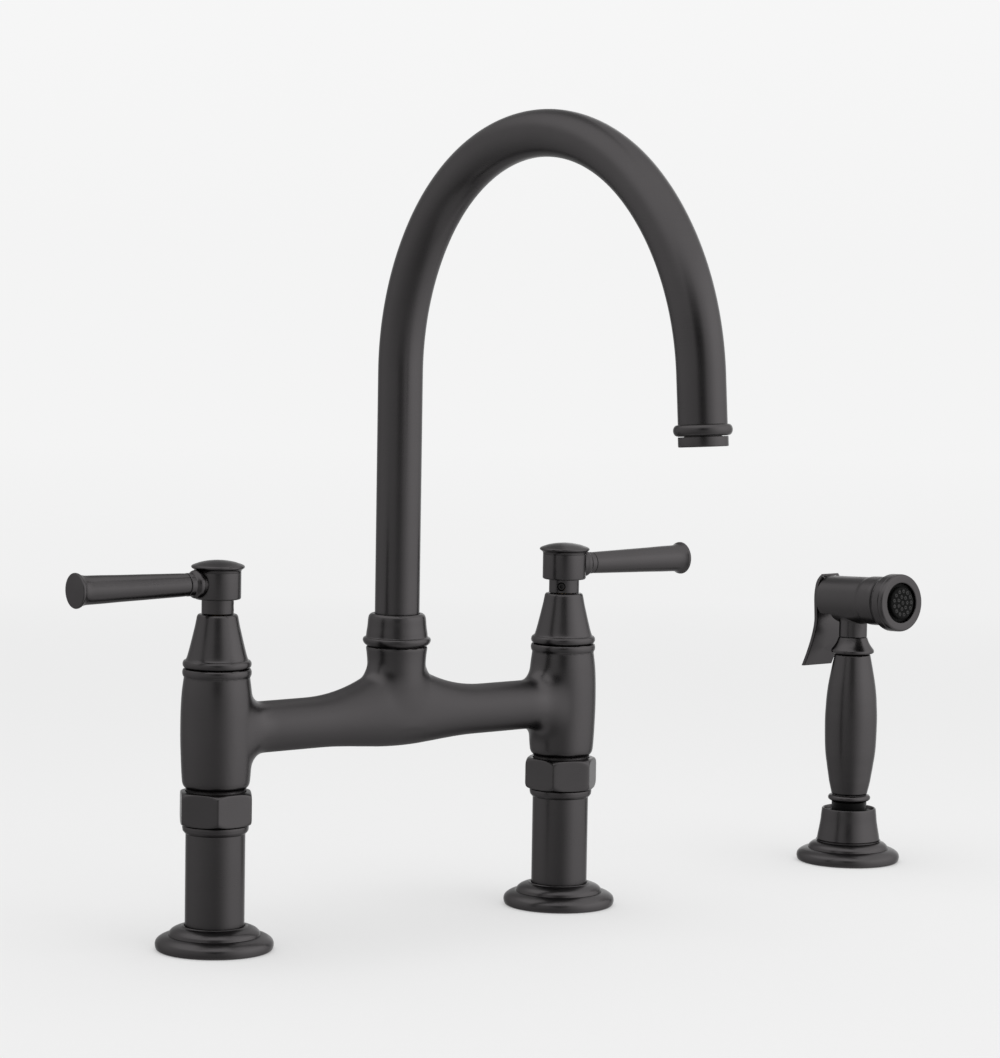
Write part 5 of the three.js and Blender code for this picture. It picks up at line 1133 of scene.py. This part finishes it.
def head_field(x, y, z):
    """Head, neck and ears, less the waterways and the valve's pocket. Here y runs back and z up."""
    rise = HEAD_RISE * np.clip((y + SLEEVE_END) / RISE_RUN, 0, 1)
    body = outline_distance(HEAD_OUTLINE, np.hypot(x, z - rise), y) - HEAD_EDGE
    heel = np.maximum(HEEL_START - y, z - HEEL_LEVEL)
    lean = (y - HEAD_BACK - 0.15) * math.cos(BACK_LEAN) + (PIVOT_LEVEL - z) * math.sin(BACK_LEAN)
    body = np.maximum(np.maximum(body, -heel), lean)
    c, s = math.cos(HEAD_TILT), math.sin(HEAD_TILT)
    wand_y, wand_z = y * c + z * s, -y * s + z * c
    from_wand, from_axis = np.hypot(x, wand_y), np.hypot(x, z)
    neck = np.maximum(from_wand - NECK_RADIUS, between(wand_z, -HEAD_DROP + GAP, 0))
    spigot = np.maximum(from_wand - SPIGOT_RADIUS, between(wand_z, -HEAD_DROP - SPIGOT_LENGTH, 0))
    solid = np.minimum(round_union(body, neck, NECK_FILLET), np.minimum(spigot, ears(x, y, z)))
    way = np.maximum(from_wand - WATERWAY, wand_z)
    chamber = np.maximum(from_axis - CHAMBER_RADIUS, between(y, -NOSE - 1, CHAMBER_BACK))
    pocket = np.maximum(from_axis - POCKET_RADIUS, between(y, POCKET_FRONT, POCKET_END))
    plunger = np.maximum(from_axis - PLUNGER_HOLE, CHAMBER_BACK - 1 - y)
    from_pin = np.hypot(y - PIVOT_BACK, z - PIVOT_LEVEL)
    knuckle = np.maximum(from_pin - KNUCKLE_RADIUS - GAP, np.abs(x) - KNUCKLE_HALF - GAP)
    hollows = np.minimum(np.minimum(way, chamber), np.minimum(np.minimum(pocket, plunger), knuckle))
    return np.maximum(solid, -hollows)


def sprayer_head():
    piece = casting("sprayer_head_cast", head_field, HEAD_LOW, HEAD_HIGH, HEAD_STEP, HEAD_PLACE)
    dress(piece, "sprayer_head", METAL["Y"])


BEZEL_RADIUS = 15.0
BEZEL_BORE = NOSE_RADIUS + GAP
BEZEL_HOLE = 10.3
BEZEL_FRONT = -36.0
BEZEL_GROOVE, GROOVE_HALF = -33.1, 0.35
BEZEL_SEAT = -33.4            # the back of its lip


def bezel():
    back, front = -SLEEVE_END - GAP, BEZEL_FRONT
    outline = [(BEZEL_BORE, back), (14.5, back)]
    outline += curve((14.75, back - 0.1), (14.95, back - 0.5), (BEZEL_RADIUS, back - 1.2), steps=4)
    outline += [(BEZEL_RADIUS, BEZEL_GROOVE + GROOVE_HALF), (BEZEL_RADIUS - GROOVE_HALF, BEZEL_GROOVE),
                (BEZEL_RADIUS, BEZEL_GROOVE - GROOVE_HALF)]
    outline += curve((BEZEL_RADIUS, front + 1.7), (14.9, front + 0.9), (14.55, front + 0.35),
                     (14.0, front + 0.05), (13.4, front), steps=4)
    outline += curve((11.3, front), (10.8, front + 0.1), (10.45, front + 0.4), (BEZEL_HOLE, front + 0.9),
                     steps=4)
    outline += [(BEZEL_HOLE, BEZEL_SEAT), (BEZEL_BORE, BEZEL_SEAT)]
    dress_turned("spray_bezel", outline, HEAD_AXIS)


NOZZLE_RINGS = ((0.0, 1), (3.2, 7), (6.1, 13))      # radius, count
NOZZLE_HEIGHT = 0.6
NOZZLE_RADIUS = 0.62
NOZZLE_RIM = 0.26             # half the width of a crater's rim
FACE_RADIUS = 8.2
FACE_FRONT, FACE_MOAT, FACE_BACK = -36.3, -34.0, -31.8
FACE_RINGS, FACE_SEGMENTS, FACE_SHARP = 44, 180, 60
FACE_SHOULDER = BEZEL_SEAT + GAP


def nozzle_relief(x, y):
    """How far the spray face stands out at a place, from 0 to 1: a small crater at each nozzle."""
    relief = 0.0
    for radius, count in NOZZLE_RINGS:
        for k in range(count):
            a = 2 * math.pi * k / count
            d = math.hypot(x - radius * math.cos(a), y - radius * math.sin(a))
            relief = max(relief, math.exp(-((d - NOZZLE_RADIUS) / NOZZLE_RIM) ** 2))
    return relief


def spray_face():
    front, collar, rim = FACE_FRONT, BEZEL_HOLE - GAP, BEZEL_BORE - GAP
    outline = [(0, FACE_BACK), (rim, FACE_BACK), (rim, FACE_SHOULDER), (collar, FACE_SHOULDER),
               (collar, FACE_MOAT), (FACE_RADIUS, FACE_MOAT), (FACE_RADIUS, front + 0.6),
               (FACE_RADIUS - 0.15, front + 0.2), (FACE_RADIUS - 0.5, front + 0.02)]
    outline += [(r, front) for r in np.linspace(FACE_RADIUS - 0.7, 0.1, FACE_RINGS)] + [(0, front)]

    def relief(x, y, z):
        return (x, y, z if z > front + 0.001 else z - NOZZLE_HEIGHT * nozzle_relief(x, y))

    piece = turned("spray_face_moulded", outline, HEAD_AXIS, FACE_SEGMENTS, relief, FACE_SHARP)
    # How far each vertex stands out of the face, which sets the painted highlight on the nozzles' rims.
    store_share(piece, "nozzle_painted_highlight", (front - vertex_places(piece)[:, 2]) / NOZZLE_HEIGHT)
    dress(piece, "spray_face", face_material())


# ---------------------------------------------------------------- trigger and its pieces

TRIGGER_INNER = 17.8
TRIGGER_THICKNESS = 2.1
TRIGGER_TOP = 13.8
TRIGGER_TOP_EDGE = 4.5        # height over which the back thins towards the top
TRIGGER_TOP_THINNER = 1.7
TRIGGER_CROWN = 17.0          # level at which the rounded top would close
TRIGGER_KINK = -9.0
TRIGGER_END = -35.3
TRIGGER_SPLAY = 10.5
TRIGGER_BOW, TRIGGER_KNEE = 0.35, 6    # the bowed share of the splay, and how soon the rest sets in
TRIGGER_ROWS_BELOW, TRIGGER_ROWS_ABOVE, TRIGGER_COLUMNS = 26, 20, 21
TRIGGER_HALF = 10.1
TRIGGER_EDGE = 0.4
SLOT_HEIGHT, SLOT_REACH = 10.8, 6.0
PIN_RADIUS, PIN_HALF = 1.0, 5.4
PIN_HOLE_HALF = 4
PLUNGER_TIP, PLUNGER_COLLAR, PLUNGER_DISC = 17.5, 12.7, -8.8


def trigger_section(face, z):
    """Half the strap's width at a level, and how far back that face stands there."""
    t = max(0.0, (TRIGGER_KINK - z) / (TRIGGER_KINK - TRIGGER_END))
    straight = (t - (1 - math.exp(-TRIGGER_KNEE * t)) / TRIGGER_KNEE) / (1 - 1 / TRIGGER_KNEE)
    lean = TRIGGER_SPLAY * (TRIGGER_BOW * t ** 2 + (1 - TRIGGER_BOW) * straight)
    half = TRIGGER_HALF * (1 if z < 0 else math.sqrt(1 - (z / TRIGGER_CROWN) ** 2))
    back = TRIGGER_INNER + face * TRIGGER_THICKNESS + lean
    if face:
        back -= TRIGGER_TOP_THINNER * max(0, 1 - (TRIGGER_TOP - z) / TRIGGER_TOP_EDGE) ** 2
    return half, back


def trigger_strap():
    """Flat behind the head, splayed below it, and rounded at the top."""
    levels = [*np.linspace(TRIGGER_END, TRIGGER_KINK, TRIGGER_ROWS_BELOW),
              *np.linspace(TRIGGER_KINK, TRIGGER_TOP, TRIGGER_ROWS_ABOVE)[1:]]
    across = np.linspace(-1, 1, TRIGGER_COLUMNS)
    vertices = []
    for face in (0, 1):
        for z in levels:
            half, back = trigger_section(face, z)
            vertices += [(half * u, back, z) for u in across]
    number = np.arange(len(vertices)).reshape(2, len(levels), len(across))
    faces = []
    for sheet in (*number, *number[:, :, (0, -1)].transpose(2, 0, 1), *number[:, (0, -1)].transpose(1, 0, 2)):
        quads = np.stack([sheet[:-1, :-1], sheet[:-1, 1:], sheet[1:, 1:], sheet[1:, :-1]], -1)
        faces += quads.reshape(-1, 4).tolist()
    piece = finish_mesh("trigger_pressed", vertices, faces)
    bevel = piece.modifiers.new("edges", "BEVEL")
    bevel.width = TRIGGER_EDGE * MM
    bevel.segments = 3
    bevel.angle_limit = math.radians(50)
    apply_modifiers(piece)
    return piece


def trigger():
    """The strap with a slot for each ear, and its hinge knuckle."""
    piece = trigger_strap()
    slot_level = PIVOT_LEVEL + EAR_RADIUS + EAR_PLAY - SLOT_HEIGHT / 2
    for side in (-1, 1):
        slot_place = upright(side * EAR_X, TRIGGER_INNER, slot_level)
        combine(piece, block("slot", EAR_HALF + EAR_PLAY, SLOT_REACH, SLOT_HEIGHT, slot_place))
    pivot = sideways(0, PIVOT_BACK, PIVOT_LEVEL, 1)
    outline = rounded([(0, -KNUCKLE_HALF), (KNUCKLE_RADIUS, -KNUCKLE_HALF, 0.3),
                       (KNUCKLE_RADIUS, KNUCKLE_HALF, 0.3), (0, KNUCKLE_HALF)])
    combine(piece, turned("knuckle", outline, pivot, SMALL_SEGMENTS), "UNION")
    combine(piece, rod("pin_hole", PIN_RADIUS + GAP, -PIN_HOLE_HALF, PIN_HOLE_HALF, pivot, PIN_SEGMENTS))
    piece.matrix_world = HEAD_PLACE
    dress(piece, "trigger")


def trigger_pin():
    place = HEAD_PLACE @ sideways(0, PIVOT_BACK, PIVOT_LEVEL, 1)
    radius, half = PIN_RADIUS, PIN_HALF
    outline = rounded([(0, -half), (radius, -half, 0.2), (radius, half, 0.2), (0, half)])
    dress_turned("trigger_pin", outline, place, BLACK_STEEL, PIN_SEGMENTS)


def valve_plunger():
    """A disc on the seat, a rod through the spring, the collar behind it, and a rounded tip."""
    tip, collar, disc = PLUNGER_TIP, PLUNGER_COLLAR, PLUNGER_DISC
    outline = rounded([
        (0, disc - 2), (4.6, disc - 2, 0.3), (4.6, disc, 0.3), (1.6, disc), (1.6, collar - 1),
        (4.3, collar - 1), (4.3, collar, 0.2), (2.0, collar), (2.0, tip - 0.7, 0.4), (1.2, tip, 0.5),
        (0, tip)])
    dress_turned("valve_plunger", outline, HEAD_AXIS, BLACK_STEEL, SMALL_SEGMENTS)


# ---------------------------------------------------------------- build

for side, sign in (("left", -1), ("right", 1)):
    x = sign * INLET_X
    flange(f"{side}_flange", x, 0, PILLAR_RADIUS + GAP)
    pillar(side, x)
    union_nut(side, x)
    bonnet(side, x)
    hub(side, x, sign)
    set_screw(side, x, sign)
    cap(side, x)
    ferrule(side, x, sign)
    lever(side, x, sign)
bridge()
spout_tube()
spout_collar()
outlet_pieces()
flange("sprayer_flange", SPRAYER_X, SPRAYER_Y, CUP_SHANK_RADIUS + GAP)
holder_cup()
holder_bush()
hose_connector()
wand_end_ring()
wand_handle()
wand_collar()
sprayer_head()
bezel()
spray_face()
trigger()
trigger_pin()
valve_plunger()
dress_cad_nodes()


# ---------------------------------------------------------------- camera, light and floor

CAMERA_AZIMUTH = -38.36
CAMERA_ELEVATION = 4.52
CAMERA_ROLL = 0.93
CAMERA_PLACE = (-0.9908, -1.3290, 0.3207)
CAMERA_LENS, CAMERA_SENSOR = 120.1, 36
STUDIO_CENTRE = Vector((0.05, -0.05, 0.17))


def linear(level):
    """The linear value of an sRGB level out of 255."""
    v = level / 255
    return v / 12.92 if v <= 0.04045 else ((v + 0.055) / 1.055) ** 2.4


FLOOR_NEAR = linear(238)
FLOOR_FAR = linear(244)
BACKDROP_HIGH = linear(248)
BACKDROP_RISE = 0.12          # sine of the elevation where the backdrop stops changing
AMBIENT = 0.60


def camera():
    data = bpy.data.cameras.new("camera")
    data.lens = CAMERA_LENS
    data.sensor_width = CAMERA_SENSOR
    view = link("camera", data)
    view.matrix_world = (Matrix.Translation(CAMERA_PLACE)
                         @ Matrix.Rotation(math.radians(CAMERA_AZIMUTH), 4, "Z")
                         @ Matrix.Rotation(math.radians(90 - CAMERA_ELEVATION), 4, "X")
                         @ Matrix.Rotation(math.radians(CAMERA_ROLL), 4, "Z"))
    bpy.context.scene.camera = view


def towards(azimuth, elevation):
    a, e = math.radians(azimuth), math.radians(elevation)
    return Vector((math.sin(a) * math.cos(e), -math.cos(a) * math.cos(e), math.sin(e)))


def soft_box(name, azimuth, elevation, distance, size, radiance):
    """A square lamp that faces the studio's centre. The metal shows the dome instead of it."""
    data = bpy.data.lights.new(name, "AREA")
    data.shape = "RECTANGLE"
    data.size, data.size_y = size, size
    data.energy = radiance * math.pi * size * size
    lamp = link(name, data)
    back = towards(azimuth, elevation)
    lamp.location = STUDIO_CENTRE + back * distance
    lamp.rotation_mode = "QUATERNION"
    lamp.rotation_quaternion = back.to_track_quat("Z", "Y")
    lamp.visible_glossy = False


DOME_RADIUS = 1.5
DOME_LEFT, DOME_RIGHT = -150, 180      # degrees that it reaches round from the camera's side
DOME_LOW = -60
DOME_STEP = 6
LEFT_WALL = 0.96              # brightness as a mirror would show it
CAMERA_SIDE = 0.66
RIGHT_WALL = 1.88             # big soft box on the right
RIGHT_END = 1.55              # what it falls to towards the back
LEFT_FADE = (-110, 0)         # degrees round, where each wall's brightness changes
RIGHT_RISE = (5, 72)
RIGHT_FALL = (105, 178)
CEILING = 1.95
CEILING_FADE = (0.42, 0.7)    # heights as shares of the radius, as below
UNDER_FADE = (-0.75, -0.2)
UNDER_DIM = 0.66              # of the walls' brightness, as seen from undersides
SPOT_TURN, SPOT_HEIGHT = 1, 0.40       # the dark gap over the camera
SPOT_WIDE, SPOT_TALL = 23, 0.52
SPOT_FADE = 1.2
LOW_SHARE, HIGH_SHARE = 0.97, 1.24     # of the walls' brightness
SHARE_HEIGHTS = (-0.4, 0.35)           # metres, where it has these shares


def dark_spot(shading, degrees, height):
    across = shading.math("DIVIDE", shading.math("SUBTRACT", degrees, SPOT_TURN), SPOT_WIDE)
    above = shading.math("DIVIDE", shading.math("SUBTRACT", height, SPOT_HEIGHT), SPOT_TALL)
    squares = [shading.math("MULTIPLY", value, value) for value in (across, above)]
    return shading.smooth(shading.math("ADD", *squares), 1, 0, 0, SPOT_FADE)


def dome_material():
    """Brightness by the angle round from the camera's side, positive to the right, and by height."""
    material, shading = new_material("studio_walls")
    place = shading.add("SeparateXYZ", {"Vector": shading.add("TexCoord")["Object"]})
    height = shading.math("DIVIDE", place["Z"], DOME_RADIUS)
    angle = shading.math("ARCTAN2", place["X"], shading.math("MULTIPLY", place["Y"], -1))
    degrees = shading.math("MULTIPLY", angle, 180 / math.pi)
    left = shading.smooth(degrees, LEFT_WALL, CAMERA_SIDE, *LEFT_FADE)
    right = shading.smooth(degrees, 0, RIGHT_WALL - CAMERA_SIDE, *RIGHT_RISE)
    end = shading.smooth(degrees, 0, RIGHT_WALL - RIGHT_END, *RIGHT_FALL)
    walls = shading.math("ADD", left, shading.math("SUBTRACT", right, end))
    lit = shading.math("SUBTRACT", 1, dark_spot(shading, degrees, height))
    walls = shading.math("MULTIPLY", walls, lit)
    walls = shading.math("MULTIPLY", walls, shading.ramp(place["Z"], LOW_SHARE, HIGH_SHARE, *SHARE_HEIGHTS))
    glow = shading.mix(shading.smooth(height, 0, 1, *CEILING_FADE), walls, CEILING)
    glow = shading.math("MULTIPLY", glow, shading.smooth(height, UNDER_DIM, 1, *UNDER_FADE))
    shading.replace_surface(shading.add("Emission", {"Strength": glow})["Emission"])
    material.cycles.emission_sampling = "NONE"
    return material


def studio_dome():
    """The studio round the faucet as its metal shows it. It is open behind, where the backdrop is."""
    rounds = np.arange(DOME_LEFT, DOME_RIGHT + 1, DOME_STEP)
    levels = np.arange(DOME_LOW, 91, DOME_STEP)
    points = [towards(azimuth, elevation) * DOME_RADIUS for elevation in levels for azimuth in rounds]
    n = len(rounds)
    faces = [(i * n + k, i * n + k + 1, (i + 1) * n + k + 1, (i + 1) * n + k)
             for i in range(len(levels) - 1) for k in range(n - 1)]
    mesh = bpy.data.meshes.new("studio_dome")
    mesh.from_pydata(points, [], faces)
    mesh.materials.append(dome_material())
    dome = link("studio_dome", mesh)
    dome.location = STUDIO_CENTRE
    dome.rotation_euler.z = math.radians(CAMERA_AZIMUTH)
    dome.visible_camera = dome.visible_diffuse = dome.visible_transmission = dome.visible_shadow = False


def studio_world():
    """A pale backdrop for the camera and for mirrors, and plain light for the rest."""
    world = bpy.data.worlds.new("studio")
    bpy.context.scene.world = world
    world.cycles.sampling_method = "NONE"
    shading = Shading(world)
    level = shading.add("SeparateXYZ", {"Vector": shading.add("TexCoord")["Generated"]})["Z"]
    backdrop = shading.ramp(level, FLOOR_FAR, BACKDROP_HIGH, 0.0, BACKDROP_RISE)
    path = shading.add("LightPath")
    mirrored = shading.math("MAXIMUM", path["Is Glossy Ray"], path["Is Transmission Ray"])
    seen = shading.math("MAXIMUM", path["Is Camera Ray"], mirrored)
    strength = shading.mix(seen, AMBIENT, backdrop)
    shading.feed(shading.nodes["Background"], {"Color": (1, 1, 1, 1), "Strength": strength})


FLOOR_REACH = 60.0
FLOOR_SINK = 0.0002
FLOOR_ALBEDO = 0.84
FLOOR_CHANGE = (0.3, 4.0)     # metres out, from its near tone to its far one
SHADOW_SHARE = 0.6            # of the floor near the faucet that takes light and shadow
SHADOW_REACH = (0.45, 1.6)    # where that share starts to fade, and where it has gone


def floor_material():
    """Pale and matt near the faucet, and even with the backdrop far off."""
    material, shading = new_material("pale_floor")
    place = shading.add("TexCoord")["Object"]
    distance = shading.add("VectorMath", {0: place}, operation="LENGTH")["Value"]
    matt = shading.add("BsdfDiffuse", {"Color": (FLOOR_ALBEDO, FLOOR_ALBEDO, FLOOR_ALBEDO, 1)})["BSDF"]
    brightness = shading.ramp(distance, FLOOR_NEAR, FLOOR_FAR, *FLOOR_CHANGE)
    glow = shading.add("Emission", {"Strength": brightness})["Emission"]
    even = shading.ramp(distance, 1 - SHADOW_SHARE, 1, *SHADOW_REACH)
    share = shading.math("MULTIPLY", even, shading.add("LightPath")["Is Camera Ray"])
    shading.replace_surface(shading.add("MixShader", {"Fac": share, 1: matt, 2: glow})["Shader"])
    return material


def floor():
    r = FLOOR_REACH
    mesh = bpy.data.meshes.new("floor")
    mesh.from_pydata([(-r, -r, 0), (r, -r, 0), (r, r, 0), (-r, r, 0)], [], [(0, 1, 2, 3)])
    mesh.materials.append(floor_material())
    piece = link("floor", mesh)
    piece.location.z = -FLOOR_SINK
    piece.visible_glossy = False


camera()
soft_box("top_soft_box", CAMERA_AZIMUTH, elevation=88, distance=1.6, size=2.4, radiance=1.15)
soft_box("right_soft_box", CAMERA_AZIMUTH + 63, elevation=35, distance=1.8, size=1.6, radiance=0.5)
studio_dome()
studio_world()
floor()

bpy.context.scene.view_settings.view_transform = "Standard"
